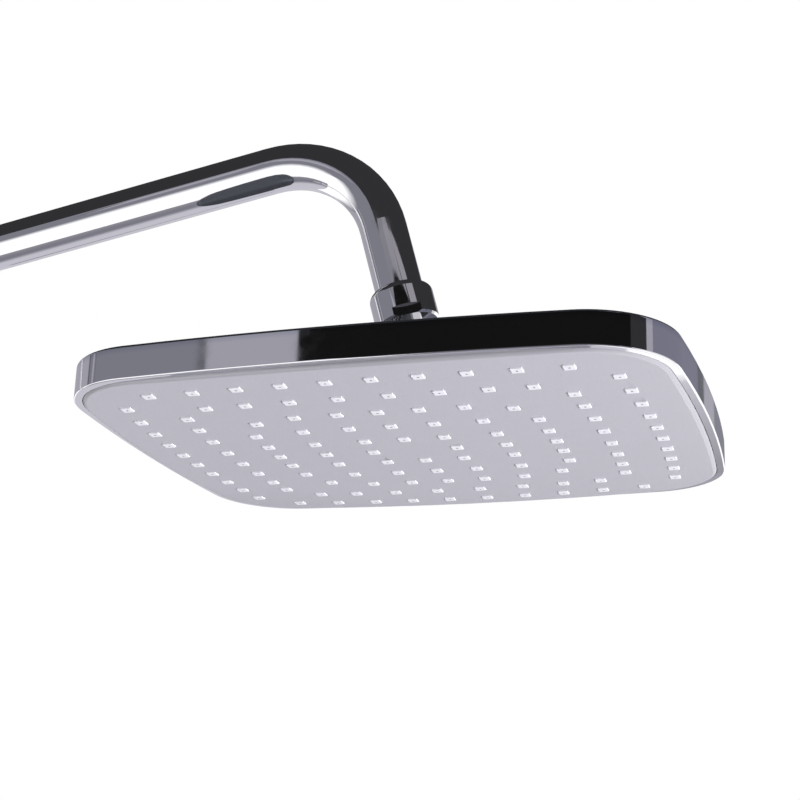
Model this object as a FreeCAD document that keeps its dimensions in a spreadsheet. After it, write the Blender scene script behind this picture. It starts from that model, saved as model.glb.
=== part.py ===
"""Overhead shower: a rectangular rain head on a ball joint, hung from a swivel arm on a riser.

Millimetres and degrees. The origin is the centre of the bracket's wall face, +X points out of the
wall and +Z up. The riser stands off the wall, the arm plugs into its top, rises gently towards the
room and bends down to the ball joint, and the head hangs level from the ball.
"""
import FreeCAD, Part
import math
import os
import re
import Sketcher
from FreeCAD import Placement, Rotation, Vector

SIZES = {
    # Riser, its threaded lower end and the wall bracket
    "wall_distance": 55.0,
    "riser_below": 60.0,
    "riser_above": 60.0,
    "tube_radius": 11.0,
    "tube_wall": 1.0,
    "fit_gap": 0.05,
    "thread_radius": 10.475,
    "thread_length": 14.0,
    "thread_gap": 0.1,
    "plug_length": 12.0,
    "bore_radius": 7.5,
    "nipple_collar_radius": 13.5,
    "nipple_collar_length": 6.0,
    "edge_bevel": 1.0,
    "ring_radius": 17.0,
    "ring_height": 18.0,
    "post_radius": 9.0,
    "stub_radius": 5.0,
    "stub_length": 18.0,
    "base_radius": 21.0,
    "base_thickness": 6.0,
    "base_hole_radius": 2.6,
    "base_hole_offset": 13.5,
    "rosette_radius": 30.0,
    "rosette_depth": 14.0,
    "rosette_wall": 1.5,
    "rosette_edge": 2.0,
    "rosette_curve": 26.0,
    "set_screw_radius": 2.5,
    "set_screw_key": 1.25,
    "set_screw_key_depth": 2.0,
    "lock_screw_inset": 11.0,
    # Swivel between the riser and the arm
    "socket_radius": 14.5,
    "socket_overlap": 12.0,
    "socket_shoulder": 4.0,
    "socket_depth": 28.0,
    "swivel_gap": 0.05,
    "spigot_lift": 0.3,
    "leg_insert": 6.0,
    "oring_section": 1.0,
    "first_oring_height": 5.0,
    "oring_spacing": 5.5,
    "stop_height": 17.0,
    "stop_tip_radius": 1.8,
    "stop_tip_reach": 1.6,
    "stop_slot_depth": 2.2,
    "stop_slot_gap": 0.4,
    "swivel_limit": 60.0,
    # Arm
    "reach": 400.0,
    "leg_length": 60.0,
    "riser_bend_radius": 60.0,
    "arm_slope": 10.0,
    "head_bend_radius": 50.0,
    "drop_lean": 15.5,
    "drop_length": 69.0,
    # Collar, neck and ball, measured from the ball's centre up the drop
    "ball_radius": 13.0,
    "ball_cut": 12.0,
    "neck_radius": 7.0,
    "water_bore": 4.0,
    "nut_start": 17.8,
    "nut_length": 17.5,
    "nut_radius": 14.6,
    "nut_shoulder": 3.3,
    "nut_floor": 1.0,
    "tube_insert": 3.0,
    "flat_depth": 1.5,
    "flat_height": 4.7,
    "flat_turn": 17.0,
    "regulator_radius": 6.0,
    "regulator_length": 5.0,
    "regulator_core": 2.0,
    "regulator_web": 1.5,
    "regulator_wall": 1.0,
    "water_hole": 0.6,
    "water_hole_ring": 4.0,
    "gasket_bore": 7.0,
    "gasket_thickness": 2.0,
    "mesh_thickness": 0.5,
    "mesh_hole": 0.7,
    "mesh_pitch": 2.2,
    # Ball joint in the head, angles measured from straight up
    "seat_gap": 0.05,
    "seat_wall": 2.25,
    "upper_seat_top": 58.0,
    "upper_seat_bottom": 76.0,
    "lower_seat_top": 96.0,
    "lower_seat_bottom": 138.0,
    "collar_opening": 62.0,
    "insert_top": 92.0,
    "seat_oring_drop": 0.85,
    "collar_radius": 21.0,
    "collar_rise": 9.0,
    "insert_thread_radius": 18.2,
    "insert_depth": 13.0,
    "insert_flange": 3.0,
    "insert_tail_radius": 13.0,
    "insert_tail_length": 10.0,
    "insert_bore": 8.0,
    # Head shell
    "joint_height": 41.6,
    "half_width": 129.0,
    "half_depth": 109.5,
    "side_bow": 930.0,
    "long_bow": 1180.0,
    "corner_radius": 38.4,
    "lip_height": 4.5,
    "rim_height": 14.55,
    "lip_roll": 0.7,
    "lip_width": 3.5,
    "back_round": 1.2,
    "roof_thickness": 2.5,
    "crown_radius": 82.0,
    "boss_radius": 27.0,
    "boss_height": 2.0,
    # Face plate, nozzle mat and water chamber
    "seam": 0.25,
    "dome_radius_x": 4450.0,
    "dome_radius_y": 2530.0,
    "dome_margin": 5.0,
    "nozzle_reach": 0.6,
    "plate_thickness": 2.0,
    "plate_land": 0.3,
    "mat_thickness": 1.6,
    "chamber_top": 13.0,
    "chamber_roof": 2.0,
    "chamber_border": 10.5,
    "hub_wall": 4.0,
    "screw_inset": 9.2,
    "screw_row_x": 42.0,
    "screw_column_y": 36.0,
    "screw_radius": 1.5,
    "screw_length": 7.5,
    "screw_head_radius": 2.75,
    "screw_head_height": 1.8,
    "pillar_radius": 3.2,
    "pillar_top": 9.5,
    "pillar_gap": 0.3,
    # Nozzles: five rings of bowed rows, from the outer ring, which keeps a border, to the core
    "nozzle_width": 4.8,
    "nozzle_gap": 0.15,
    "jet_radius": 0.5,
    "nozzle_border_x": 21.5,
    "nozzle_border_y": 18.3,
    "core_half_x": 19.1,
    "core_half_y": 16.4,
    "row_bow": 1025.0,
    "column_bow": 638.0,
    "corner_gap_x": 7.6,
    "corner_gap_y": 6.3,
    "row0_count": 10,
    "row0_gap": 20.8,
    "column0_count": 10,
    "column0_gap": 17.8,
    "spread0": 0.0011,
    "row1_count": 8,
    "row1_gap": 16.3,
    "column1_count": 8,
    "column1_gap": 14.3,
    "spread1": -0.0060,
    "row2_count": 5,
    "row2_gap": 26.6,
    "column2_count": 5,
    "column2_gap": 22.8,
    "spread2": 0.0120,
    "row3_count": 5,
    "row3_gap": 1.5,
    "column3_count": 3,
    "column3_gap": 19.2,
    "spread3": 0.0200,
    "row4_count": 3,
    "row4_gap": 1.2,
    "column4_count": 1,
}
# Nozzle rings, the ring with a nozzle at each corner, and the longest row that needs no spread
RINGS = 5
CORNER_RING = 2
EVEN_COUNT = 3
# Water holes in the flow regulator
WATER_HOLES = 6
# Least volume that a cut has to take away, and how near two levels count as one
LEAST_CUT = 1e-3
SAME_LEVEL = 1e-4

doc = FreeCAD.newDocument("overhead_shower")
sheet = doc.addObject("Spreadsheet::Sheet", "Sizes")
for row, (name, number) in enumerate(SIZES.items(), 1):
    sheet.set(f"A{row}", name)
    sheet.set(f"B{row}", str(number))
    sheet.setAlias(f"B{row}", name)
doc.recompute()


def value(text):
    """The number that an expression on the sheet's sizes gives."""
    result = sheet.evalExpression(text)
    return float(getattr(result, "Value", result))


def bind(item, path, text):
    """Tie a property to the sheet: each size in the expression is read from its cell."""
    linked = re.sub(r"[a-z]\w*", lambda m: f"Sizes.{m[0]}" if m[0] in SIZES else m[0], text)
    item.setExpression(path, linked)


# Places and levels that several pieces share, as expressions on the sizes
SIN_SLOPE = "sin(arm_slope * 1deg)"
COS_SLOPE = "cos(arm_slope * 1deg)"
SIN_LEAN = "sin(drop_lean * 1deg)"
COS_LEAN = "cos(drop_lean * 1deg)"
TUBE_BORE = "(tube_radius - tube_wall)"
SOCKET_FLOOR = "(riser_above + socket_shoulder)"
SOCKET_TOP = f"({SOCKET_FLOOR} + socket_depth)"
LEG_FOOT = f"({SOCKET_TOP} - leg_insert)"
RUN = (
    f"((reach - riser_bend_radius * (1 - {SIN_SLOPE}) - head_bend_radius * ({SIN_SLOPE} + {COS_LEAN})"
    f" - drop_length * {SIN_LEAN}) / {COS_SLOPE})"
)
ARM_ROUTE = [("0", LEG_FOOT), ("0", f"{LEG_FOOT} + leg_length")]
ARM_ROUTE.append((f"riser_bend_radius * (1 - {SIN_SLOPE})",
                  f"{ARM_ROUTE[1][1]} + riser_bend_radius * {COS_SLOPE}"))
ARM_ROUTE.append((f"{ARM_ROUTE[2][0]} + {RUN} * {COS_SLOPE}", f"{ARM_ROUTE[2][1]} + {RUN} * {SIN_SLOPE}"))
ARM_ROUTE.append((f"{ARM_ROUTE[3][0]} + head_bend_radius * ({SIN_SLOPE} + {COS_LEAN})",
                  f"{ARM_ROUTE[3][1]} - head_bend_radius * ({COS_SLOPE} - {SIN_LEAN})"))
NUT_TOP = "(nut_start + nut_length)"
TUBE_END = f"({NUT_TOP} - tube_insert)"
ARM_ROUTE.append((f"{ARM_ROUTE[4][0]} + (drop_length - {TUBE_END}) * {SIN_LEAN}",
                  f"{ARM_ROUTE[4][1]} - (drop_length - {TUBE_END}) * {COS_LEAN}"))
BALL_X = "(wall_distance + reach)"
BALL_Z = f"({ARM_ROUTE[4][1]} - drop_length * {COS_LEAN})"
HEAD_Z = f"({BALL_Z} - joint_height)"
REGULATOR_FLOOR = "(nut_start + nut_floor)"
GASKET_FLOOR = f"({REGULATOR_FLOOR} + regulator_length)"
OUTLET_END = f"({GASKET_FLOOR} + gasket_thickness)"
SEAT_INSIDE = "(ball_radius + seat_gap)"
SEAT_OUTSIDE = f"({SEAT_INSIDE} + seat_wall)"
POCKET = f"({SEAT_OUTSIDE} + seat_gap)"
INSERT_FOOT = "(joint_height - insert_depth - insert_flange)"
BOSS_TOP = INSERT_FOOT
RIM_TOP = "(lip_height + rim_height)"
PLATE_INSET = "(lip_width + seam)"
PLATE_BACK = "plate_thickness"
MAT_BACK = "(plate_thickness + mat_thickness)"
HUB_RADIUS = "(insert_tail_radius + thread_gap + hub_wall)"


def polar(radius, angle):
    """Corner at a radius from the ball's centre and an angle from straight up."""
    return f"{radius} * sin({angle} * 1deg)", f"{radius} * cos({angle} * 1deg)"


def sketch_on(body, plane, label):
    """Empty sketch on one of the body's own origin planes."""
    sketch = body.newObject("Sketcher::SketchObject", label)
    support = [item for item in body.Origin.OriginFeatures if item.Role == plane][0]
    sketch.AttachmentSupport = [(support, "")]
    sketch.MapMode = "FlatFace"
    return sketch


def hold(sketch, kind, places, text):
    """Dimension in a sketch, tied to the sheet."""
    number = sketch.addConstraint(Sketcher.Constraint(kind, *places, value(text)))
    bind(sketch, f"Constraints[{number}]", text)


def trace(sketch, corners, closed=True):
    """Edges from corner to corner, each corner held by its two expressions.

    A corner is (x, y) before a straight edge, or (x, y, radius, turn) before an arc that bends
    left (+1) or right (-1) on its way to the next corner.
    """
    points = [Vector(value(corner[0]), value(corner[1]), 0) for corner in corners]
    edges = len(points) if closed else len(points) - 1
    first = sketch.GeometryCount
    ends = []
    for index in range(edges):
        start = points[index]
        end = points[(index + 1) % len(points)]
        if len(corners[index]) == 2:
            sketch.addGeometry(Part.LineSegment(start, end))
            ends.append((1, 2))
            continue
        radius = value(corners[index][2])
        turn = corners[index][3]
        chord = end - start
        across = Vector(-chord.y, chord.x, 0).normalize()
        centre = start + chord / 2 + across * turn * math.sqrt(radius ** 2 - (chord.Length / 2) ** 2)
        limits = [math.atan2((p - centre).y, (p - centre).x) for p in (start, end)[::turn]]
        circle = Part.Circle(centre, Vector(0, 0, 1), radius)
        sketch.addGeometry(Part.ArcOfCircle(circle, *limits))
        ends.append((1, 2)[::turn])
    for index in range(edges):
        edge = first + index
        hold(sketch, "DistanceX", (-1, 1, edge, ends[index][0]), corners[index][0])
        hold(sketch, "DistanceY", (-1, 1, edge, ends[index][0]), corners[index][1])
        if len(corners[index]) > 2:
            hold(sketch, "Radius", (edge,), corners[index][2])
        if closed or index + 1 < edges:
            following = (index + 1) % edges
            joint = (edge, ends[index][1], first + following, ends[following][0])
            sketch.addConstraint(Sketcher.Constraint("Coincident", *joint))
    if not closed:
        hold(sketch, "DistanceX", (-1, 1, first + edges - 1, ends[-1][1]), corners[-1][0])
        hold(sketch, "DistanceY", (-1, 1, first + edges - 1, ends[-1][1]), corners[-1][1])


def circle(sketch, x, y, radius):
    """Circle held by its centre and radius."""
    centre = Vector(value(x), value(y), 0)
    number = sketch.addGeometry(Part.Circle(centre, Vector(0, 0, 1), value(radius)))
    hold(sketch, "DistanceX", (-1, 1, number, 3), x)
    hold(sketch, "DistanceY", (-1, 1, number, 3), y)
    hold(sketch, "Radius", (number,), radius)


def box_corners(left, right, bottom, top):
    """Four corners of an upright rectangle."""
    return [(left, bottom), (right, bottom), (right, top), (left, top)]


def new_body(label):
    """Empty body whose label names the piece."""
    body = doc.addObject("PartDesign::Body", label)
    body.Label = label
    return body


def stand(item, x, z, axis=Vector(0, 0, 1), angle="0"):
    """Put a piece at its place in the plane of the arm, turned about an axis."""
    item.Placement = Placement(Vector(value(x), 0, value(z)), Rotation(axis, value(angle)))
    bind(item, "Placement.Base.x", x)
    bind(item, "Placement.Base.z", z)
    if angle != "0":
        bind(item, "Placement.Rotation.Angle", angle)
    return item


def spin(body, kind, corners, plane="XZ_Plane", axis="V_Axis", angle="360", shift="0", level="0"):
    """Revolution that adds, or groove that cuts, a traced outline about an axis of its sketch.

    The sketch's own origin, and with it the axis, lies at a shift along and a level above the body's.
    """
    doc.recompute()
    before = body.Shape.Volume if body.Tip else 0.0
    number = len(body.Group)
    sketch = sketch_on(body, plane, f"{body.Label}_profile{number}")
    trace(sketch, corners)
    bind(sketch, "AttachmentOffset.Base.x", shift)
    bind(sketch, "AttachmentOffset.Base.y", level)
    feature = body.newObject(f"PartDesign::{kind}", f"{body.Label}_{kind.lower()}{number}")
    feature.Profile = sketch
    feature.ReferenceAxis = (sketch, [axis])
    feature.Midplane = True
    feature.Angle = value(angle)
    bind(feature, "Angle", angle)
    doc.recompute()
    if kind == "Groove" and body.Shape.Volume > before - LEAST_CUT:
        raise RuntimeError(f"{feature.Label} cuts nothing")
    return feature


def drill(body, start, end, radius, plane="XZ_Plane", level="0"):
    """Round hole along the horizontal of a plane, at a level."""
    return spin(body, "Groove", box_corners(start, end, "0", radius), plane, "H_Axis", level=level)


def turned(label, corners):
    """Body turned about its own upright axis."""
    body = new_body(label)
    spin(body, "Revolution", corners)
    return body


def on_riser(item):
    """Place a piece that is turned about the riser's axis."""
    return stand(item, "wall_distance", "0")


def on_drop(item):
    """Place a piece that is turned about the arm's drop, with the ball's centre as its origin."""
    return stand(item, BALL_X, BALL_Z, Vector(0, -1, 0), "drop_lean")


def on_ball(item):
    """Place a piece of the ball joint that keeps level with the head."""
    return stand(item, BALL_X, BALL_Z)


def on_head(item):
    """Place a piece of the head, with the tip of the middle nozzles as its origin."""
    return stand(item, BALL_X, HEAD_Z)


def raised(sketch, level):
    """Lift a sketch along its plane's normal."""
    bind(sketch, "AttachmentOffset.Base.z", level)
    return sketch


def pad(body, sketch, length):
    """Solid from a flat sketch, upwards."""
    feature = body.newObject("PartDesign::Pad", f"{body.Label}_pad{len(body.Group)}")
    feature.Profile = sketch
    feature.Length = value(length)
    bind(feature, "Length", length)
    return feature


def pocket(body, sketch, depth):
    """Cut from a flat sketch, upwards, which has to take some of the body away."""
    doc.recompute()
    before = body.Shape.Volume
    feature = body.newObject("PartDesign::Pocket", f"{body.Label}_pocket{len(body.Group)}")
    feature.Profile = sketch
    feature.Reversed = True
    feature.Length = value(depth)
    bind(feature, "Length", depth)
    doc.recompute()
    if body.Shape.Volume > before - LEAST_CUT:
        raise RuntimeError(f"{feature.Label} cuts nothing")
    return feature


def corner_centre():
    """Centre of a corner arc of the head's outline, tangent to a side arc and a long arc."""
    side = value("side_bow - corner_radius")
    long = value("long_bow - corner_radius")
    side_centre = Vector(value("half_width - side_bow"), 0, 0)
    long_centre = Vector(0, value("half_depth - long_bow"), 0)
    line = long_centre - side_centre
    along = (side ** 2 - long ** 2 + line.Length ** 2) / (2 * line.Length)
    off = math.sqrt(side ** 2 - along ** 2)
    normal = Vector(-line.y, line.x, 0).normalize()
    middle = side_centre + line * (along / line.Length)
    return max((middle + normal * off, middle - normal * off), key=lambda p: p.x + p.y)


def outline(sketch, inset):
    """The head's outline, drawn in by an inset: four bowed sides joined by four corner arcs."""
    corner = corner_centre()
    side_x = value("half_width - side_bow")
    long_y = value("half_depth - long_bow")
    to_corner = math.atan2(corner.y, corner.x - side_x)
    to_long = math.atan2(corner.y - long_y, corner.x)
    half = math.pi / 2
    quarter = [
        ("side", side_x, 0, -to_corner, to_corner),
        ("corner", corner.x, corner.y, to_corner, to_long),
        ("long", 0, long_y, to_long, math.pi - to_long),
        ("corner", -corner.x, corner.y, math.pi - to_long, math.pi - to_corner),
    ]
    radii = {
        "side": f"side_bow - {inset}",
        "long": f"long_bow - {inset}",
        "corner": f"corner_radius - {inset}",
    }
    arcs = quarter + [(kind, -x, -y, start + 2 * half, end + 2 * half) for kind, x, y, start, end in quarter]
    for kind, x, y, start, end in arcs:
        ring = Part.Circle(Vector(x, y, 0), Vector(0, 0, 1), value(radii[kind]))
        sketch.addGeometry(Part.ArcOfCircle(ring, start, end))
    for number, arc in enumerate(arcs):
        kind = arc[0]
        sketch.addConstraint(Sketcher.Constraint("Tangent", number, 2, (number + 1) % len(arcs), 1))
        hold(sketch, "Radius", (number,), radii[kind])
        sign = "" if number < len(quarter) else "-1 * "
        if kind == "side":
            hold(sketch, "DistanceX", (-1, 1, number, 3), f"{sign}(half_width - side_bow)")
            hold(sketch, "DistanceY", (-1, 1, number, 3), "0")
        if kind == "long":
            hold(sketch, "DistanceX", (-1, 1, number, 3), "0")
            hold(sketch, "DistanceY", (-1, 1, number, 3), f"{sign}(half_depth - long_bow)")


def outline_pad(body, inset, foot, length):
    """Slab with the head's outline."""
    sketch = raised(sketch_on(body, "XY_Plane", f"{body.Label}_outline{len(body.Group)}"), foot)
    outline(sketch, inset)
    return pad(body, sketch, length)


def outline_pocket(body, inset, foot, depth):
    """Hollow with the head's outline, upwards from a level."""
    sketch = raised(sketch_on(body, "XY_Plane", f"{body.Label}_outline{len(body.Group)}"), foot)
    outline(sketch, inset)
    return pocket(body, sketch, depth)


def dome_cut(body, offset, limit):
    """Cut along the face's dome, raised by an offset: all from the dome to the level of the limit.

    The dome is a barrel: an arc along X, turned about an axis that runs along X above the face.
    """
    axis = "(nozzle_reach + dome_radius_y)"
    radius = f"(dome_radius_x - {offset})"
    side = "(half_width + dome_margin)"
    edge = f"(dome_radius_x - dome_radius_y - sqrt({radius} ^ 2 - {side} ^ 2))"
    corners = [
        (f"-1 * {side}", edge, radius, 1),
        (side, edge),
        (side, f"{limit} - {axis}"),
        (f"-1 * {side}", f"{limit} - {axis}"),
    ]
    sweep = "2 * atan((half_depth + dome_margin) / dome_radius_y)"
    return spin(body, "Groove", corners, axis="H_Axis", angle=sweep, level=axis)


def dome_height(x, y):
    """Height of the dome over its lowest point."""
    along = value("dome_radius_x") - math.sqrt(value("dome_radius_x") ** 2 - x ** 2)
    return value("dome_radius_y") - math.sqrt((value("dome_radius_y") - along) ** 2 - y ** 2)


def flat_edges(feature, level):
    """Names of the edges that lie at one level."""
    names = []
    for number, edge in enumerate(feature.Shape.Edges, 1):
        box = edge.BoundBox
        if abs(box.ZMin - level) < SAME_LEVEL and abs(box.ZMax - level) < SAME_LEVEL:
            names.append(f"Edge{number}")
    return names


def rounded(body, feature, level, radius):
    """Round the edges of a feature that lie at one level."""
    doc.recompute()
    fillet = body.newObject("PartDesign::Fillet", f"{body.Label}_round{len(body.Group)}")
    fillet.Base = (feature, flat_edges(feature, value(level)))
    fillet.Radius = value(radius)
    bind(fillet, "Radius", radius)
    doc.recompute()
    return fillet


def set_screw(label, length, tip_radius, tip_length):
    """Headless screw with a key recess, its tip at the origin's side and its axis along Z."""
    return turned(label, [
        ("0", "0"),
        (tip_radius, "0"),
        (tip_radius, tip_length),
        ("set_screw_radius", tip_length),
        ("set_screw_radius", length),
        ("set_screw_key", length),
        ("set_screw_key", f"{length} - set_screw_key_depth"),
        ("0", f"{length} - set_screw_key_depth"),
    ])


def rubber_ring(label, radius, height, x, z, axis=Vector(0, 0, 1), angle="0"):
    """Round rubber ring about an upright axis, at a height over the place that it is turned about."""
    ring = doc.addObject("Part::Torus", label)
    ring.Label = label
    bind(ring, "Radius1", radius)
    bind(ring, "Radius2", "oring_section")
    return stand(ring, x, f"{z} + {height}", axis, angle)


def group(label, members):
    """Several separate solids of one kind under one name."""
    item = doc.addObject("Part::Compound", label)
    item.Label = label
    item.Links = members
    return item


# Riser stub: a plain tube from the nipple at its foot to the swivel socket on its top
riser_tube = on_riser(turned("riser_tube", box_corners(
    TUBE_BORE, "tube_radius", "-1 * riser_below", "riser_above")))

# Riser nipple: a plug brazed into the tube, a collar to turn it by and the G1/2 thread
FOOT = "(-1 * riser_below)"
COLLAR_FOOT = f"({FOOT} - nipple_collar_length)"
NIPPLE_END = f"({COLLAR_FOOT} - thread_length)"
riser_nipple = on_riser(turned("riser_nipple", [
    ("bore_radius", NIPPLE_END),
    ("thread_radius - edge_bevel", NIPPLE_END),
    ("thread_radius", f"{NIPPLE_END} + edge_bevel"),
    ("thread_radius", COLLAR_FOOT),
    ("nipple_collar_radius - edge_bevel", COLLAR_FOOT),
    ("nipple_collar_radius", f"{COLLAR_FOOT} + edge_bevel"),
    ("nipple_collar_radius", f"{FOOT} - edge_bevel"),
    ("nipple_collar_radius - edge_bevel", FOOT),
    (f"{TUBE_BORE} - fit_gap", FOOT),
    (f"{TUBE_BORE} - fit_gap", f"{FOOT} + plug_length"),
    ("bore_radius", f"{FOOT} + plug_length"),
]))

# Swivel socket: a sleeve brazed over the riser's end, open at the top for the arm
SOCKET_FOOT = "(riser_above - socket_overlap)"
swivel_socket = on_riser(turned("swivel_socket", [
    ("tube_radius + fit_gap", SOCKET_FOOT),
    ("socket_radius - edge_bevel", SOCKET_FOOT),
    ("socket_radius", f"{SOCKET_FOOT} + edge_bevel"),
    ("socket_radius", f"{SOCKET_TOP} - edge_bevel"),
    ("socket_radius - edge_bevel", SOCKET_TOP),
    ("tube_radius + swivel_gap", SOCKET_TOP),
    ("tube_radius + swivel_gap", SOCKET_FLOOR),
    ("bore_radius", SOCKET_FLOOR),
    ("bore_radius", "riser_above"),
    ("tube_radius + fit_gap", "riser_above"),
]))
STOP_LEVEL = f"({SOCKET_FLOOR} + stop_height)"
STOP_TIP = "(tube_radius - stop_tip_reach)"
SCREW_BORE = "set_screw_radius + fit_gap"
drill(swivel_socket, "-1 * socket_radius - edge_bevel", f"-1 * {STOP_TIP}", SCREW_BORE, level=STOP_LEVEL)

# Stop screw: threaded through the socket's wall on the wall side, its tip in the spigot's slot
stop_screw = set_screw("stop_screw", f"socket_radius - {STOP_TIP}", "stop_tip_radius",
                       "(stop_tip_reach + swivel_gap)")
stand(stop_screw, f"wall_distance - {STOP_TIP}", STOP_LEVEL, Vector(0, -1, 0), "90")

# Riser bracket: a ring round the riser with a hollow post towards the wall, one casting
POST_END = "(wall_distance - base_thickness)"
riser_bracket = on_riser(turned("riser_bracket", [
    ("0", "-1 * ring_height / 2"),
    ("ring_radius - edge_bevel", "-1 * ring_height / 2"),
    ("ring_radius", "edge_bevel - ring_height / 2"),
    ("ring_radius", "ring_height / 2 - edge_bevel"),
    ("ring_radius - edge_bevel", "ring_height / 2"),
    ("0", "ring_height / 2"),
]))
spin(riser_bracket, "Revolution", box_corners(f"-1 * {POST_END}", "0", "0", "post_radius"), axis="H_Axis")
spin(riser_bracket, "Groove", box_corners("0", "tube_radius + fit_gap", "-1 * ring_height", "ring_height"))
drill(riser_bracket, f"-1 * {POST_END} - edge_bevel", f"stub_length + fit_gap - {POST_END}",
      "stub_radius + fit_gap")
drill(riser_bracket, "0", "ring_radius + edge_bevel", SCREW_BORE, plane="YZ_Plane")
LOCK_X = f"(lock_screw_inset - {POST_END})"
LOCK_BORE = box_corners("0", SCREW_BORE, "-1 * post_radius - edge_bevel", "0")
spin(riser_bracket, "Groove", LOCK_BORE, shift=LOCK_X)

# Clamp screw: presses the ring's far side against the riser
clamp_screw = set_screw("clamp_screw", "ring_radius - tube_radius - fit_gap", "stop_tip_radius", "edge_bevel")
clamp_screw.Placement = Placement(Vector(), Rotation(Vector(-1, 0, 0), 90))
bind(clamp_screw, "Placement.Base.x", "wall_distance")
bind(clamp_screw, "Placement.Base.y", "tube_radius + fit_gap")

# Lock screw: keeps the post on the stub of the wall base, from below
lock_screw = set_screw("lock_screw", "post_radius - stub_radius", "stop_tip_radius", "edge_bevel")
stand(lock_screw, f"wall_distance + {LOCK_X}", "-1 * stub_radius", Vector(1, 0, 0), "180")

# Wall base: a disc with two screw holes and the stub that carries the post
bracket_base = turned("bracket_base", [
    ("0", "0"),
    ("base_radius", "0"),
    ("base_radius", "base_thickness - edge_bevel"),
    ("base_radius - edge_bevel", "base_thickness"),
    ("stub_radius", "base_thickness"),
    ("stub_radius", "base_thickness + stub_length"),
    ("0", "base_thickness + stub_length"),
])
base_holes = sketch_on(bracket_base, "XY_Plane", "base_holes")
circle(base_holes, "base_hole_offset", "0", "base_hole_radius")
circle(base_holes, "-1 * base_hole_offset", "0", "base_hole_radius")
pocket(bracket_base, base_holes, "base_thickness")
stand(bracket_base, "0", "0", Vector(0, 1, 0), "90")

# Wall rosette: a thin spun cover over the base, slid along the post against the wall
ROSETTE_HOLE = "(post_radius + fit_gap)"
wall_rosette = turned("wall_rosette", [
    ("rosette_radius - rosette_wall", "0"),
    ("rosette_radius", "0"),
    ("rosette_radius", "rosette_edge", "rosette_curve", 1),
    (f"{ROSETTE_HOLE} + rosette_edge", "rosette_depth"),
    (ROSETTE_HOLE, "rosette_depth"),
    (ROSETTE_HOLE, "rosette_depth - rosette_wall"),
    (f"{ROSETTE_HOLE} + rosette_edge", "rosette_depth - rosette_wall", "rosette_curve - rosette_wall", -1),
    ("rosette_radius - rosette_wall", "rosette_edge"),
])
stand(wall_rosette, "0", "0", Vector(0, 1, 0), "90")

# Arm: one tube, up from the socket, out with a gentle rise and down to the head
arm_tube = new_body("arm_tube")
arm_route = sketch_on(arm_tube, "XZ_Plane", "arm_route")
trace(arm_route, [
    ARM_ROUTE[0],
    (*ARM_ROUTE[1], "riser_bend_radius", -1),
    ARM_ROUTE[2],
    (*ARM_ROUTE[3], "head_bend_radius", -1),
    ARM_ROUTE[4],
    ARM_ROUTE[5],
], closed=False)
arm_section = raised(sketch_on(arm_tube, "XY_Plane", "arm_section"), LEG_FOOT)
circle(arm_section, "0", "0", "tube_radius")
circle(arm_section, "0", "0", TUBE_BORE)
arm_pipe = arm_tube.newObject("PartDesign::AdditivePipe", "arm_pipe")
arm_pipe.Profile = arm_section
arm_pipe.Spine = arm_route
on_riser(arm_tube)

# Arm spigot: brazed into the arm's foot, with two ring grooves and the slot that limits the swivel
SPIGOT_FOOT = f"({SOCKET_FLOOR} + spigot_lift)"
RING_LEVELS = [f"({SOCKET_FLOOR} + first_oring_height)",
               f"({SOCKET_FLOOR} + first_oring_height + oring_spacing)"]
GROOVE_RADIUS = "(tube_radius - 2 * oring_section - fit_gap)"
GROOVE_HALF = "(oring_section + 2 * fit_gap)"
spigot_corners = [("bore_radius", SPIGOT_FOOT), ("tube_radius", SPIGOT_FOOT)]
for level in RING_LEVELS:
    spigot_corners += [
        ("tube_radius", f"{level} - {GROOVE_HALF}"),
        (GROOVE_RADIUS, f"{level} - {GROOVE_HALF}"),
        (GROOVE_RADIUS, f"{level} + {GROOVE_HALF}"),
        ("tube_radius", f"{level} + {GROOVE_HALF}"),
    ]
arm_spigot = on_riser(turned("arm_spigot", spigot_corners + [
    ("tube_radius", LEG_FOOT),
    (f"{TUBE_BORE} - fit_gap", LEG_FOOT),
    (f"{TUBE_BORE} - fit_gap", f"{LEG_FOOT} + plug_length"),
    ("bore_radius", f"{LEG_FOOT} + plug_length"),
]))
SLOT_HALF = "(stop_tip_radius + stop_slot_gap)"
SLOT_FLOOR = "(tube_radius - stop_slot_depth)"
spin(arm_spigot, "Groove", box_corners("-1 * tube_radius - edge_bevel", f"-1 * {SLOT_FLOOR}",
                                       f"{STOP_LEVEL} - {SLOT_HALF}", f"{STOP_LEVEL} + {SLOT_HALF}"),
     angle=f"2 * swivel_limit * 1deg + 2 * asin({SLOT_HALF} / {SLOT_FLOOR})")

# Spigot rings: two rubber rings that seal the swivel
spigot_orings = group("spigot_orings", [
    rubber_ring(f"spigot_oring_{number}", "tube_radius - oring_section", level, "wall_distance", "0")
    for number, level in enumerate(RING_LEVELS, 1)])

# Arm outlet: a threaded nipple brazed into the arm's lower end
arm_outlet = on_drop(turned("arm_outlet", [
    ("bore_radius", OUTLET_END),
    ("thread_radius", OUTLET_END),
    ("thread_radius", TUBE_END),
    (f"{TUBE_BORE} - fit_gap", TUBE_END),
    (f"{TUBE_BORE} - fit_gap", f"{TUBE_END} + plug_length"),
    ("bore_radius", f"{TUBE_END} + plug_length"),
]))

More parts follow.
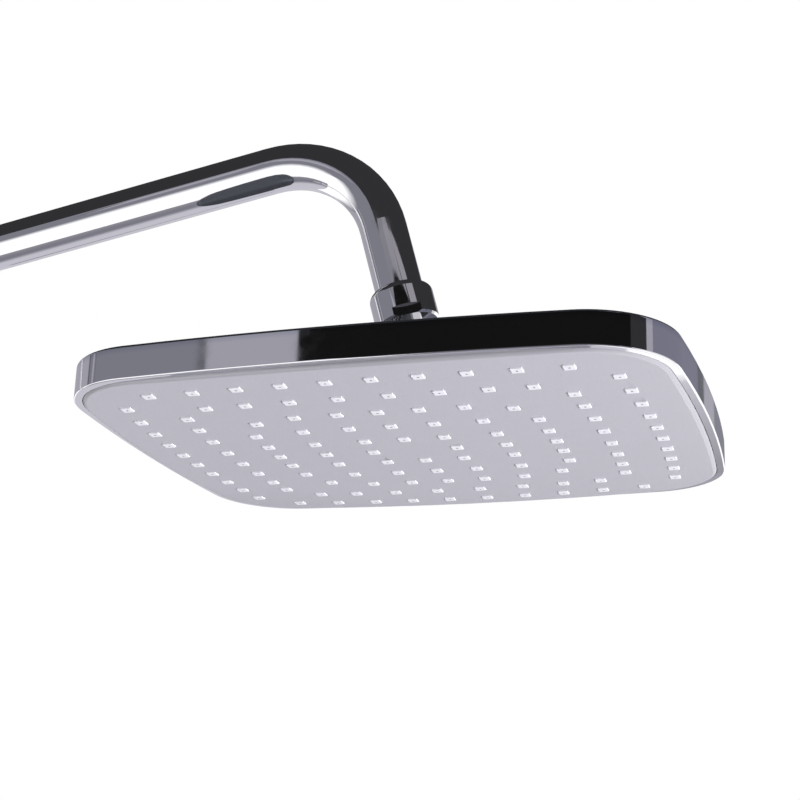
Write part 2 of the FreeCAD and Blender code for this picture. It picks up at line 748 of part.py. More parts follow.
# Ball stem: the collar with two wrench flats, the neck and the ball, turned in one piece
ball_stem = turned("ball_stem", [
    ("water_bore", "-1 * ball_cut"),
    ("sqrt(ball_radius ^ 2 - ball_cut ^ 2)", "-1 * ball_cut", "ball_radius", 1),
    ("neck_radius", "sqrt(ball_radius ^ 2 - neck_radius ^ 2)"),
    ("neck_radius", "nut_start"),
    ("nut_radius - edge_bevel", "nut_start"),
    ("nut_radius", "nut_start + edge_bevel"),
    ("nut_radius", f"{NUT_TOP} - nut_shoulder", "nut_shoulder", 1),
    ("nut_radius - nut_shoulder", NUT_TOP),
    ("tube_radius + fit_gap", NUT_TOP),
    ("tube_radius + fit_gap", TUBE_END),
    ("thread_radius + thread_gap", TUBE_END),
    ("thread_radius + thread_gap", GASKET_FLOOR),
    ("regulator_radius + fit_gap", GASKET_FLOOR),
    ("regulator_radius + fit_gap", REGULATOR_FLOOR),
    ("water_bore", REGULATOR_FLOOR),
])
flats = raised(sketch_on(ball_stem, "XY_Plane", "wrench_flats"), "nut_start")
SIN_FLAT = "sin(flat_turn * 1deg)"
COS_FLAT = "cos(flat_turn * 1deg)"
for side in ("1", "-1"):
    inner = f"{side} * (nut_radius - flat_depth)"
    outer = f"{side} * (nut_radius + edge_bevel)"
    trace(flats, [(f"{u} * {COS_FLAT} - {v} * {SIN_FLAT}", f"{u} * {SIN_FLAT} + {v} * {COS_FLAT}")
                  for u, v in box_corners("-1 * nut_radius", "nut_radius", inner, outer)])
pocket(ball_stem, flats, "flat_height")
on_drop(ball_stem)

# Inlet gasket: a flat washer between the arm's nipple and the collar's floor
inlet_gasket = on_drop(turned("inlet_gasket", box_corners(
    "gasket_bore", "thread_radius", GASKET_FLOOR, OUTLET_END)))

# Filter mesh: a thin drilled disc that lies in the washer
filter_mesh = turned("filter_mesh", box_corners(
    "0", "gasket_bore - fit_gap", GASKET_FLOOR, f"{GASKET_FLOOR} + mesh_thickness"))
mesh_holes = raised(sketch_on(filter_mesh, "XY_Plane", "mesh_holes"), GASKET_FLOOR)
mesh_reach = int(value("gasket_bore / mesh_pitch"))
for column in range(-mesh_reach, mesh_reach + 1):
    for line in range(-mesh_reach, mesh_reach + 1):
        if math.hypot(column, line) * value("mesh_pitch") < value("gasket_bore - 2 * mesh_hole"):
            circle(mesh_holes, f"{column} * mesh_pitch", f"{line} * mesh_pitch", "mesh_hole")
pocket(filter_mesh, mesh_holes, "mesh_thickness")
on_drop(filter_mesh)

# Flow regulator: a cup with a middle pin and water holes, and the soft ring that narrows its way
REGULATOR_TOP = f"({REGULATOR_FLOOR} + regulator_web)"
flow_regulator = turned("flow_regulator", [
    ("0", REGULATOR_FLOOR),
    ("regulator_radius", REGULATOR_FLOOR),
    ("regulator_radius", GASKET_FLOOR),
    ("regulator_radius - regulator_wall", GASKET_FLOOR),
    ("regulator_radius - regulator_wall", REGULATOR_TOP),
    ("regulator_core", REGULATOR_TOP),
    ("regulator_core", f"{GASKET_FLOOR} - regulator_wall"),
    ("0", f"{GASKET_FLOOR} - regulator_wall"),
])
water_holes = raised(sketch_on(flow_regulator, "XY_Plane", "water_holes"), REGULATOR_FLOOR)
for number in range(WATER_HOLES):
    turn = f"{number} * 360deg / {WATER_HOLES}"
    circle(water_holes, f"water_hole_ring * cos({turn})", f"water_hole_ring * sin({turn})", "water_hole")
pocket(flow_regulator, water_holes, "regulator_web")
on_drop(flow_regulator)
regulator_oring = turned("regulator_oring", [
    ("regulator_core + fit_gap", REGULATOR_TOP),
    ("regulator_core + fit_gap + oring_section", REGULATOR_TOP),
    ("regulator_core + fit_gap + oring_section", f"{REGULATOR_TOP} + oring_section"),
    ("regulator_core + fit_gap", f"{REGULATOR_TOP} + oring_section"),
])
on_drop(regulator_oring)


def ball_seat(label, top, bottom):
    """Plastic ring between two spheres about the ball's centre, from one angle to another."""
    return on_ball(turned(label, [
        (*polar(SEAT_INSIDE, top), SEAT_INSIDE, -1),
        polar(SEAT_INSIDE, bottom),
        (*polar(SEAT_OUTSIDE, bottom), SEAT_OUTSIDE, 1),
        polar(SEAT_OUTSIDE, top),
    ]))


# Ball seats: the upper one keeps the ball in, the lower one seals it
upper_seat = ball_seat("upper_seat", "upper_seat_top", "upper_seat_bottom")
lower_seat = ball_seat("lower_seat", "lower_seat_top", "lower_seat_bottom")

# Retaining collar: a ring nut with a flared mouth, which holds the upper seat from above
COLLAR_BORE = "(insert_thread_radius + thread_gap)"
retaining_collar = on_ball(turned("retaining_collar", [
    (COLLAR_BORE, "-1 * insert_depth"),
    ("collar_radius", "-1 * insert_depth"),
    ("collar_radius", "collar_rise - 2 * edge_bevel"),
    ("collar_radius - 2 * edge_bevel", "collar_rise"),
    ("collar_rise * tan(collar_opening * 1deg)", "collar_rise"),
    (*polar(POCKET, "collar_opening"), POCKET, -1),
    (POCKET, "0"),
    (COLLAR_BORE, "0"),
]))

# Socket insert: the brass cup under the ball, whose tail holds the shell and the chamber together
CUP_EDGE = polar(POCKET, "insert_top")
CUP_FOOT = polar(POCKET, "lower_seat_bottom")
SEAT_RING_Z = f"({CUP_FOOT[1]} - seat_oring_drop)"
CUP_FLOOR = f"({SEAT_RING_Z} - oring_section - fit_gap)"
FLANGE_FOOT = "(-1 * insert_depth - insert_flange)"
socket_insert = on_ball(turned("socket_insert", [
    (*CUP_EDGE, POCKET, -1),
    CUP_FOOT,
    (CUP_FOOT[0], CUP_FLOOR),
    ("insert_bore", CUP_FLOOR),
    ("insert_bore", f"{FLANGE_FOOT} - insert_tail_length"),
    ("insert_tail_radius", f"{FLANGE_FOOT} - insert_tail_length"),
    ("insert_tail_radius", FLANGE_FOOT),
    ("collar_radius", FLANGE_FOOT),
    ("collar_radius", "-1 * insert_depth"),
    ("insert_thread_radius", "-1 * insert_depth"),
    ("insert_thread_radius", CUP_EDGE[1]),
]))

# Rings in the joint: one under the lower seat, one between the insert's tail and the chamber
seat_oring = rubber_ring("seat_oring", f"{CUP_FOOT[0]} - oring_section - fit_gap",
                         SEAT_RING_Z, BALL_X, BALL_Z)
TAIL_FOOT = f"({INSERT_FOOT} - insert_tail_length)"
hub_oring = rubber_ring("hub_oring", "(insert_tail_radius + insert_bore) / 2",
                        f"{TAIL_FOOT} - oring_section - fit_gap", BALL_X, HEAD_Z)

# Top shell: the deep rim with its rolled lip, the back with a low crown, and the boss for the joint
top_shell = new_body("top_shell")
shell_slab = outline_pad(top_shell, "0", "lip_height", "rim_height")
shell_back = rounded(top_shell, shell_slab, RIM_TOP, "back_round")
rounded(top_shell, shell_back, "lip_height", "lip_roll")
CROWN_TOP = f"({BOSS_TOP} - boss_height)"
spin(top_shell, "Revolution", [
    ("0", f"{RIM_TOP} - roof_thickness"),
    ("crown_radius", f"{RIM_TOP} - roof_thickness"),
    ("crown_radius", RIM_TOP),
    ("boss_radius", CROWN_TOP),
    ("boss_radius", BOSS_TOP),
    ("0", BOSS_TOP),
])
outline_pocket(top_shell, "lip_width", "lip_height", "rim_height - roof_thickness")
HUB_TOP = f"({BOSS_TOP} - roof_thickness)"
spin(top_shell, "Groove", [
    ("0", f"{RIM_TOP} - roof_thickness - edge_bevel"),
    ("crown_radius", f"{RIM_TOP} - roof_thickness - edge_bevel"),
    ("crown_radius", f"{RIM_TOP} - roof_thickness"),
    ("boss_radius", f"{CROWN_TOP} - roof_thickness"),
    (f"{HUB_RADIUS} + edge_bevel", f"{CROWN_TOP} - roof_thickness"),
    (f"{HUB_RADIUS} + edge_bevel", HUB_TOP),
    ("0", HUB_TOP),
])
TAIL_HOLE = "(insert_tail_radius + thread_gap)"
spin(top_shell, "Groove", box_corners("0", TAIL_HOLE, f"{HUB_TOP} - edge_bevel", f"{BOSS_TOP} + edge_bevel"))
on_head(top_shell)

# Places of the chamber screws: four along the long sides and four along the short ones
ROW_Y = "(half_depth - screw_inset - screw_row_x ^ 2 / 2 / long_bow)"
COLUMN_X = "(half_width - screw_inset - screw_column_y ^ 2 / 2 / side_bow)"
SCREW_SPOTS = []
for sign_x in ("", "-1 * "):
    for sign_y in ("", "-1 * "):
        SCREW_SPOTS.append((f"{sign_x}screw_row_x", f"{sign_y}{ROW_Y}"))
        SCREW_SPOTS.append((f"{sign_x}{COLUMN_X}", f"{sign_y}screw_column_y"))


def screw_circles(body, radius, level):
    """Sketch with a circle at each screw, at a level."""
    sketch = raised(sketch_on(body, "XY_Plane", f"{body.Label}_circles{len(body.Group)}"), level)
    for x, y in SCREW_SPOTS:
        circle(sketch, x, y, radius)
    return sketch


# Chamber plate: the lid of the water chamber, with the hub that the insert's tail is screwed into
BELOW = "-1 * dome_margin"
ABOVE = "(chamber_top + dome_margin)"
chamber_plate = new_body("chamber_plate")
outline_pad(chamber_plate, PLATE_INSET, "0", "chamber_top")
outline_pocket(chamber_plate, f"({PLATE_INSET} + chamber_border)", "0", "chamber_top - chamber_roof")
dome_cut(chamber_plate, MAT_BACK, BELOW)
HUB_LEDGE = f"({TAIL_FOOT} - 2 * oring_section - 2 * fit_gap)"
spin(chamber_plate, "Revolution", box_corners("0", HUB_RADIUS, "chamber_top - chamber_roof", HUB_TOP))
spin(chamber_plate, "Groove", box_corners("0", TAIL_HOLE, HUB_LEDGE, BOSS_TOP))
spin(chamber_plate, "Groove", box_corners("0", "insert_bore", "0", f"{HUB_LEDGE} + edge_bevel"))
pocket(chamber_plate, screw_circles(chamber_plate, "pillar_radius + pillar_gap", "0"),
       "pillar_top + pillar_gap")
pocket(chamber_plate, screw_circles(chamber_plate, "screw_radius + pillar_gap", "0"), "chamber_top")
on_head(chamber_plate)

# Chamber screws: eight pan-head screws from above into the face plate's pillars
screws = []
for number, (x, y) in enumerate(SCREW_SPOTS, 1):
    shank = doc.addObject("Part::Cylinder", f"screw_shank_{number}")
    bind(shank, "Radius", "screw_radius")
    bind(shank, "Height", "screw_length + screw_head_height / 2")
    head = doc.addObject("Part::Cylinder", f"screw_head_{number}")
    bind(head, "Radius", "screw_head_radius")
    bind(head, "Height", "screw_head_height")
    for cylinder, foot in ((shank, "chamber_top - screw_length"), (head, "chamber_top")):
        bind(cylinder, "Placement.Base.x", f"{BALL_X} + {x}")
        bind(cylinder, "Placement.Base.y", y)
        bind(cylinder, "Placement.Base.z", f"{HEAD_Z} + {foot}")
    screw = doc.addObject("Part::Fuse", f"screw_{number}")
    screw.Base = shank
    screw.Tool = head
    screws.append(screw)
chamber_screws = group("chamber_screws", screws)

def rounded_border(body, feature, radius):
    """Round the outer edge of a body's lowest face."""
    doc.recompute()
    face = min(feature.Shape.Faces, key=lambda side: side.CenterOfMass.z)
    border = face.OuterWire.Edges
    names = [f"Edge{number}" for number, edge in enumerate(feature.Shape.Edges, 1)
             if any(edge.isSame(side) for side in border)]
    fillet = body.newObject("PartDesign::Fillet", f"{body.Label}_border")
    fillet.Base = (feature, names)
    fillet.Radius = value(radius)
    bind(fillet, "Radius", radius)
    doc.recompute()


# Blank of the face plate: a domed sheet with a round border and a drilled pillar for each screw
plate_blank = new_body("plate_blank")
outline_pad(plate_blank, PLATE_INSET, "0", "chamber_top")
dome_cut(plate_blank, PLATE_BACK, ABOVE)
pad(plate_blank, screw_circles(plate_blank, "pillar_radius", "0"), "pillar_top")
plate_face = dome_cut(plate_blank, "0", BELOW)
rounded_border(plate_blank, plate_face, "plate_thickness - plate_land")
PILOT_FOOT = "(chamber_top - screw_length - pillar_gap)"
pocket(plate_blank, screw_circles(plate_blank, "screw_radius", PILOT_FOOT), f"pillar_top - {PILOT_FOOT}")
on_head(plate_blank)

# Blank of the nozzle mat: a domed rubber sheet with a hole for each pillar
mat_blank = new_body("mat_blank")
outline_pad(mat_blank, PLATE_INSET, "0", "chamber_top")
dome_cut(mat_blank, MAT_BACK, ABOVE)
dome_cut(mat_blank, PLATE_BACK, BELOW)
pocket(mat_blank, screw_circles(mat_blank, "pillar_radius + pillar_gap", "0"), "chamber_top")
on_head(mat_blank)


def row_places(row, ring, half):
    """Places along a row of a ring, even about its middle, the last a gap short of the ring's corner.

    The steps between them widen or narrow a little outwards, by the ring's spread.
    """
    count = round(value(f"{row}{ring}_count"))
    last = (count - 1) / 2
    if last == 0:
        return [0.0]
    spread = value(f"spread{ring}") if count > EVEN_COUNT else 0.0
    end = half - value(f"{row}{ring}_gap")
    steps = [(index - last) / last for index in range(count)]
    stretch = spread * last ** 2
    return [end * step * (1 + stretch * step ** 2) / (1 + stretch) for step in steps]


def nozzle_spots():
    """Centres of the nozzles: in each ring two bowed rows along X and two bowed columns along Y."""
    outer_x = value("half_width - nozzle_border_x")
    outer_y = value("half_depth - nozzle_border_y")
    step_x = (outer_x - value("core_half_x")) / (RINGS - 1)
    step_y = (outer_y - value("core_half_y")) / (RINGS - 1)
    spots = []
    for ring in range(RINGS):
        half_x = outer_x - ring * step_x
        half_y = outer_y - ring * step_y
        for x in row_places("row", ring, half_x):
            y = half_y - x ** 2 / 2 / value("row_bow")
            spots += [(x, y), (x, -y)]
        for y in row_places("column", ring, half_y):
            x = half_x - y ** 2 / 2 / value("column_bow")
            spots += [(x, y), (-x, y)]
        if ring == CORNER_RING:
            x = half_x - value("corner_gap_x")
            y = half_y - value("corner_gap_y")
            spots += [(x, y), (-x, y), (x, -y), (-x, -y)]
    return spots


def square_posts(label, width, low, high):
    """Upright square posts at the nozzles, between two levels over the dome."""
    posts = doc.addObject("Part::Feature", label)
    corner = Vector(width / 2, width / 2, 0)
    posts.Shape = Part.makeCompound([
        Part.makeBox(width, width, high - low, Vector(x, y, dome_height(x, y) + low) - corner)
        for x, y in nozzle_spots()])
    return on_head(posts)


# Nozzles: square rubber posts that stand out of the face, each with a fine jet hole
post_root = value("nozzle_reach + plate_thickness + mat_thickness / 2")
below_face = value(BELOW)
nozzle_posts = square_posts("nozzle_posts", value("nozzle_width"), 0.0, post_root)
plate_holes = square_posts("plate_holes", value("nozzle_width + 2 * nozzle_gap"), below_face, post_root)
jets = doc.addObject("Part::Feature", "jets")
jets.Shape = Part.makeCompound([
    Part.makeCylinder(value("jet_radius"), value("chamber_top") - below_face, Vector(x, y, below_face))
    for x, y in nozzle_spots()])
on_head(jets)

# Nozzle mat: the rubber sheet with its nozzles, in one piece
mat_solid = doc.addObject("Part::MultiFuse", "mat_solid")
mat_solid.Shapes = [mat_blank, nozzle_posts]
nozzle_mat = doc.addObject("Part::Cut", "nozzle_mat")
nozzle_mat.Base = mat_solid
nozzle_mat.Tool = jets
nozzle_mat.Refine = False

# Face plate: the domed sheet with a square hole for each nozzle
face_plate = doc.addObject("Part::Cut", "face_plate")
face_plate.Base = plate_blank
face_plate.Tool = plate_holes
face_plate.Refine = False

doc.recompute()
PIECES = [
    riser_tube, riser_nipple, swivel_socket, stop_screw, riser_bracket, clamp_screw, lock_screw, bracket_base,
    wall_rosette, arm_tube, arm_spigot, spigot_orings, arm_outlet, ball_stem, inlet_gasket, filter_mesh,
    flow_regulator, regulator_oring, upper_seat, lower_seat, retaining_collar, socket_insert, seat_oring,
    hub_oring, top_shell, chamber_plate, chamber_screws, nozzle_mat, face_plate,
]
for item in doc.Objects:
    if "Invalid" in item.State or "Error" in item.State:
        raise RuntimeError(f"{item.Label} is {item.State}")
for piece in PIECES:
    if piece.Shape.isNull() or not piece.Shape.isValid() or not piece.Shape.Solids:
        raise RuntimeError(f"{piece.Label} has no sound shape")
os.makedirs("parts", exist_ok=True)
for piece in PIECES:
    piece.Shape.exportStep(f"parts/{piece.Label}.step")
    box = piece.Shape.BoundBox
    low = f"{box.XMin:.2f} {box.YMin:.2f} {box.ZMin:.2f}"
    high = f"{box.XMax:.2f} {box.YMax:.2f} {box.ZMax:.2f}"
    print(f"{piece.Label}: {len(piece.Shape.Solids)} solids, {piece.Shape.Volume:.1f} mm3, {low} to {high}")
print(f"ball centre {value(BALL_X):.3f}, {value(BALL_Z):.3f}; head origin z {value(HEAD_Z):.3f}")
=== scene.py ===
"""Looks of the overhead shower: finishes, fine pieces, studio and camera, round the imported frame.

In the frame of the model: the origin is the centre of the bracket's wall face, +X points out of the
wall and +Z up. Finishes and studio are in metres, and the sizes of new pieces are in millimetres until
they become a mesh.
"""
import bpy
import math
import numpy as np
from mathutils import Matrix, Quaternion, Vector


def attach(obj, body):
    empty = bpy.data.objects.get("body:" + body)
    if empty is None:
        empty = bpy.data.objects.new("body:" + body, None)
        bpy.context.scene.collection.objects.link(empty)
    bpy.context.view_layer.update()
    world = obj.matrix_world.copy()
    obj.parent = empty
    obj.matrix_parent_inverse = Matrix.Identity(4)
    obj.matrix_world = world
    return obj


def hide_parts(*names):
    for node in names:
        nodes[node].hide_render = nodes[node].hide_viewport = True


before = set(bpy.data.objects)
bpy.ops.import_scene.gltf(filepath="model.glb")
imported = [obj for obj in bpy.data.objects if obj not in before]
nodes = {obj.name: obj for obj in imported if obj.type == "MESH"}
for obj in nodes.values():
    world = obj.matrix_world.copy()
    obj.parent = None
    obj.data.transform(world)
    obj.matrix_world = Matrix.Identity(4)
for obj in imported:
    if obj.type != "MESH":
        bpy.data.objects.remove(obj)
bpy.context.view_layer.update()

# Bracket base
# A stainless disc screwed to the wall, with the stub that the bracket's post slides over. It is turned
# from bar and only brushed, because the rosette hides it.

STEEL_COLOUR = (0.56, 0.56, 0.57)
STEEL_ROUGHNESS = (0.24, 0.42)
BRUSH_LINE = 0.0004
BRUSH_STRETCH = (12.0, 1.0, 1.0)
BRUSH_DEPTH = 0.00001

NOISE_DETAIL = 3.0
NOISE_LIMITS = (0.3, 0.7)


def new_finish(name, colour, roughness, metallic=0.0):
    """Material with a Principled shader of plain values, and the Object coordinates for its textures."""
    material = bpy.data.materials.new(name)
    material.use_nodes = True
    shader = material.node_tree.nodes["Principled BSDF"]
    shader.inputs["Base Color"].default_value = (*colour, 1.0)
    shader.inputs["Metallic"].default_value = metallic
    shader.inputs["Roughness"].default_value = roughness
    place = material.node_tree.nodes.new("ShaderNodeTexCoord").outputs["Object"]
    return material, shader, place


def grain(material, place, size, stretch=(1.0, 1.0, 1.0), detail=NOISE_DETAIL):
    """Noise from 0 to 1 whose grains are size long, drawn out along an axis by stretch."""
    tree = material.node_tree
    mapping = tree.nodes.new("ShaderNodeMapping")
    mapping.inputs["Scale"].default_value = [1 / (size * along) for along in stretch]
    noise = tree.nodes.new("ShaderNodeTexNoise")
    noise.inputs["Scale"].default_value = 1.0
    noise.inputs["Detail"].default_value = detail
    tree.links.new(place, mapping.inputs["Vector"])
    tree.links.new(mapping.outputs["Vector"], noise.inputs["Vector"])
    return noise.outputs["Fac"]


def vary(material, pattern, values, socket, limits=NOISE_LIMITS):
    """Drive a socket from the first value to the second as the pattern goes from limit to limit."""
    tree = material.node_tree
    span = tree.nodes.new("ShaderNodeMapRange")
    for name, number in zip(("From Min", "From Max", "To Min", "To Max"), (*limits, *values)):
        span.inputs[name].default_value = number
    tree.links.new(pattern, span.inputs["Value"])
    tree.links.new(span.outputs["Result"], socket)


def relief(material, pattern, height, shader):
    """Bump of that height from the pattern."""
    tree = material.node_tree
    bump = tree.nodes.new("ShaderNodeBump")
    bump.inputs["Strength"].default_value = 1.0
    bump.inputs["Distance"].default_value = height
    tree.links.new(pattern, bump.inputs["Height"])
    tree.links.new(bump.outputs["Normal"], shader.inputs["Normal"])


def dress(material, *names):
    """Give CAD nodes their finish."""
    for name in names:
        mesh = nodes[name].data
        mesh.materials.clear()
        mesh.materials.append(material)


def brushed_steel():
    """Stainless steel with short brush lines along X."""
    material, shader, place = new_finish(
        "brushed_steel", STEEL_COLOUR, np.mean(STEEL_ROUGHNESS), metallic=1.0)
    lines = grain(material, place, BRUSH_LINE, BRUSH_STRETCH)
    vary(material, lines, STEEL_ROUGHNESS, shader.inputs["Roughness"])
    relief(material, lines, BRUSH_DEPTH, shader)
    return material


steel = brushed_steel()
dress(steel, "bracket_base")

# Rosette, bracket, riser and swivel socket
# Brass, cast, spun, drawn or turned, then polished, nickelled and chromed. The rosette slides over the
# post, the post's ring clamps the riser, and the socket is brazed to the riser's top.

CHROME_COLOUR = (0.80, 0.80, 0.82)
CHROME_ROUGHNESS = (0.025, 0.065)
POLISH_SIZE = 0.006
BRASS_WAVE = 0.03
WAVE_DETAIL = 1.0
WAVE_HEIGHT = 0.00002


def polished_chrome(name, colour, wave):
    """Mirror plating: faint polishing haze in the gloss, and a slow wave in the surface under it."""
    material, shader, place = new_finish(name, colour, np.mean(CHROME_ROUGHNESS), metallic=1.0)
    polish = grain(material, place, POLISH_SIZE)
    vary(material, polish, CHROME_ROUGHNESS, shader.inputs["Roughness"])
    swell = grain(material, place, wave, detail=WAVE_DETAIL)
    relief(material, swell, WAVE_HEIGHT, shader)
    return material


chrome = polished_chrome("chrome_on_brass", CHROME_COLOUR, BRASS_WAVE)
dress(chrome, "wall_rosette", "riser_bracket", "riser_tube", "swivel_socket")

# Set screws
# Three headless stainless screws with a hexagon socket: one clamps the riser in its ring, one locks the
# post on its stub, and one keeps the arm in the swivel socket and stops its swing.

MM = 0.001
CREASE = math.radians(40)

SCREW_POINTS = 24
SCREW_RINGS = 40
SCREW_RADIUS = 2.5
SCREW_PITCH = 0.8
SCREW_DEPTH = 0.49
SCREW_BEVEL = 0.4
DOG_RADIUS = 1.8
DOG_BEVEL = 0.25
KEY_MOUTH = 1.65
KEY_HALF = 1.25
KEY_BEVEL = 0.2
KEY_DEPTH = 2.0

# Node, centre of the tip, axis, length and length of the dog point of each screw
SCREWS = (("clamp_screw", (55.0, 11.05, 0.0), (0, 1, 0), 5.95, 1.0),
          ("lock_screw", (17.0, 0.0, -5.0), (0, 0, -1), 4.0, 1.0),
          ("stop_screw", (45.6, 0.0, 81.0), (-1, 0, 0), 5.1, 1.65))


def tube_faces(bodies, rings, points, first=0, loop=False):
    """Faces of bodies made of rings: each four neighbours along and round make one, facing outwards.

    The rings go up and the points anticlockwise. The last ring meets the first in a loop, and otherwise
    the two end rings are closed flat. Vertices are counted from first, body by body and ring by ring.
    """
    grid = first + np.arange(bodies * rings * points).reshape(bodies, rings, points)
    along = np.concatenate([grid, grid[:, :1]], axis=1) if loop else grid
    beside = np.roll(along, -1, axis=2)
    quads = np.stack([along[:, :-1], beside[:, :-1], beside[:, 1:], along[:, 1:]], axis=-1)
    ends = [] if loop else grid[:, 0, ::-1].tolist() + grid[:, -1].tolist()
    return quads.reshape(-1, 4).tolist() + ends


def make_piece(name, points, faces, finish, body, slot, *replaced):
    """Mesh piece from points in metres, smooth up to the crease angle, that stands for CAD nodes."""
    mesh = bpy.data.meshes.new(name)
    mesh.from_pydata(points.reshape(-1, 3), [], faces)
    mesh.shade_smooth()
    mesh.set_sharp_from_angle(angle=CREASE)
    mesh.materials.append(finish)
    piece = bpy.data.objects.new(name, mesh)
    bpy.context.scene.collection.objects.link(piece)
    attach(piece, body)
    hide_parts(*replaced)
    return piece


def thread(radius, depth, pitch, level, turn):
    """Radius of a thread: a cosine wave along the axis that climbs by one pitch in each turn."""
    wave = np.cos(2 * np.pi * level / pitch - turn)
    return radius - depth * (1 - wave) / 2


def set_screw(node, tip, axis, length, dog):
    """Screw from the centre of its tip along an axis: dog point, thread, end face and hexagon socket.

    Its radius is the least of the thread's and of two cones, one over the dog and one at the end. The
    hexagon's reach at an angle is its half width over the cosine of the angle from the nearest flat.
    """
    turn = np.arange(SCREW_POINTS) * 2 * np.pi / SCREW_POINTS
    hexagon = KEY_HALF / np.cos((turn + np.pi / 6) % (np.pi / 3) - np.pi / 6)
    circle = np.ones(SCREW_POINTS)
    level = np.linspace(dog, length, SCREW_RINGS)[:, None]
    shank = np.minimum.reduce([
        thread(SCREW_RADIUS, SCREW_DEPTH, SCREW_PITCH, level, turn),
        DOG_RADIUS + level - dog + 0 * turn,
        SCREW_RADIUS - SCREW_BEVEL + length - level + 0 * turn])
    radius = np.vstack([(DOG_RADIUS - DOG_BEVEL) * circle, DOG_RADIUS * circle, shank, KEY_MOUTH * circle,
                        hexagon, hexagon])
    height = np.concatenate([[0.0, DOG_BEVEL], level[:, 0],
                             [length, length - KEY_BEVEL, length - KEY_DEPTH]])
    along = np.array(axis, float)
    side = np.roll(np.abs(along), 1)
    other = np.cross(along, side)
    plan = np.cos(turn)[:, None] * side + np.sin(turn)[:, None] * other
    points = np.array(tip) + height[:, None, None] * along + radius[:, :, None] * plan
    faces = tube_faces(1, len(height), SCREW_POINTS)
    make_piece("hexagon_" + node, points * MM, faces, steel, "riser", "screw_steel", node)


for screw in SCREWS:
    set_screw(*screw)

# Riser nipple and arm spigot
# Turned brass, left bare: the nipple is brazed into the riser and takes the supply pipe on its thread,
# and the spigot is brazed into the arm and turns in the swivel socket.

BRASS_COLOURS = ((0.60, 0.42, 0.19), (0.76, 0.57, 0.29))
BRASS_ROUGHNESS = (0.2, 0.36)
TARNISH_SIZE = 0.009
LATHE_LINE = 0.0003
LATHE_STRETCH = (20.0, 20.0, 1.0)
LATHE_DEPTH = 0.00001

NIPPLE_X = 55.0
NIPPLE_POINTS = 72
NIPPLE_BORE = 7.5
NIPPLE_FOOT = -80.0
NIPPLE_BEVEL = 1.0
THREAD_RADIUS = 10.475
THREAD_PITCH = 1.814
THREAD_DEPTH = 1.162
THREAD_TOP = -67.0
THREAD_STEPS = 144
COLLAR_FOOT = -66.0
COLLAR_TOP = -60.0
COLLAR_RADIUS = 13.5
PLUG_RADIUS = 9.95
PLUG_TOP = -48.0


def tint(material, pattern, colours, shader, limits=NOISE_LIMITS):
    """Base colour that runs from the first colour to the second as the pattern goes from limit to limit."""
    tree = material.node_tree
    ramp = tree.nodes.new("ShaderNodeValToRGB")
    for stop, limit, colour in zip(ramp.color_ramp.elements, limits, colours):
        stop.position = limit
        stop.color = (*colour, 1.0)
    tree.links.new(pattern, ramp.inputs["Fac"])
    tree.links.new(ramp.outputs["Color"], shader.inputs["Base Color"])


def turned_brass():
    """Brass with fine rings from the lathe tool, a little darker where it has tarnished."""
    material, shader, place = new_finish(
        "turned_brass", np.mean(BRASS_COLOURS, axis=0), np.mean(BRASS_ROUGHNESS), metallic=1.0)
    tarnish = grain(material, place, TARNISH_SIZE)
    tint(material, tarnish, BRASS_COLOURS, shader)
    rings = grain(material, place, LATHE_LINE, LATHE_STRETCH)
    vary(material, rings, BRASS_ROUGHNESS, shader.inputs["Roughness"])
    relief(material, rings, LATHE_DEPTH, shader)
    return material


def threaded_nipple(finish):
    """Nipple turned about the riser: bore, thread, groove, collar and plug, as rings in a loop.

    The thread is cut by a cone at its foot, and its crests run down to a groove at its top.
    """
    turn = np.arange(NIPPLE_POINTS) * 2 * np.pi / NIPPLE_POINTS
    level = np.linspace(NIPPLE_FOOT, THREAD_TOP, THREAD_STEPS)[:, None]
    crest = np.minimum(thread(THREAD_RADIUS, THREAD_DEPTH, THREAD_PITCH, level, turn),
                       THREAD_RADIUS - NIPPLE_BEVEL + level - NIPPLE_FOOT)
    root = THREAD_RADIUS - THREAD_DEPTH
    runout = np.clip((THREAD_TOP - level) / THREAD_PITCH, 0, 1)
    screwed = root + (crest - root) * runout
    lathe = np.array([
        (root, COLLAR_FOOT), (COLLAR_RADIUS - NIPPLE_BEVEL, COLLAR_FOOT),
        (COLLAR_RADIUS, COLLAR_FOOT + NIPPLE_BEVEL), (COLLAR_RADIUS, COLLAR_TOP - NIPPLE_BEVEL),
        (COLLAR_RADIUS - NIPPLE_BEVEL, COLLAR_TOP), (PLUG_RADIUS, COLLAR_TOP),
        (PLUG_RADIUS, PLUG_TOP), (NIPPLE_BORE, PLUG_TOP)])
    circle = np.ones(NIPPLE_POINTS)
    radius = np.vstack([NIPPLE_BORE * circle, screwed, lathe[:, :1] * circle])
    height = np.concatenate([[NIPPLE_FOOT], level[:, 0], lathe[:, 1]])[:, None] + 0 * turn
    points = np.stack([NIPPLE_X + radius * np.cos(turn), radius * np.sin(turn), height], axis=-1)
    faces = tube_faces(1, len(points), NIPPLE_POINTS, loop=True)
    make_piece("pipe_nipple", points * MM, faces, finish, "riser", "brass", "riser_nipple")


brass = turned_brass()
dress(brass, "arm_spigot")
threaded_nipple(brass)

# Rubber rings and gasket
# Black nitrile rubber, moulded and matt: the spigot's two rings, the inlet gasket, the regulator's
# ring and the two rings in the head. They are laid in as the pieces are put together.

RUBBER_COLOURS = ((0.014, 0.014, 0.015), (0.035, 0.035, 0.034))
RUBBER_ROUGHNESS = 0.62
BLOOM_SIZE = 0.003
PIT_SIZE = 0.0003
PIT_DEPTH = 0.00003


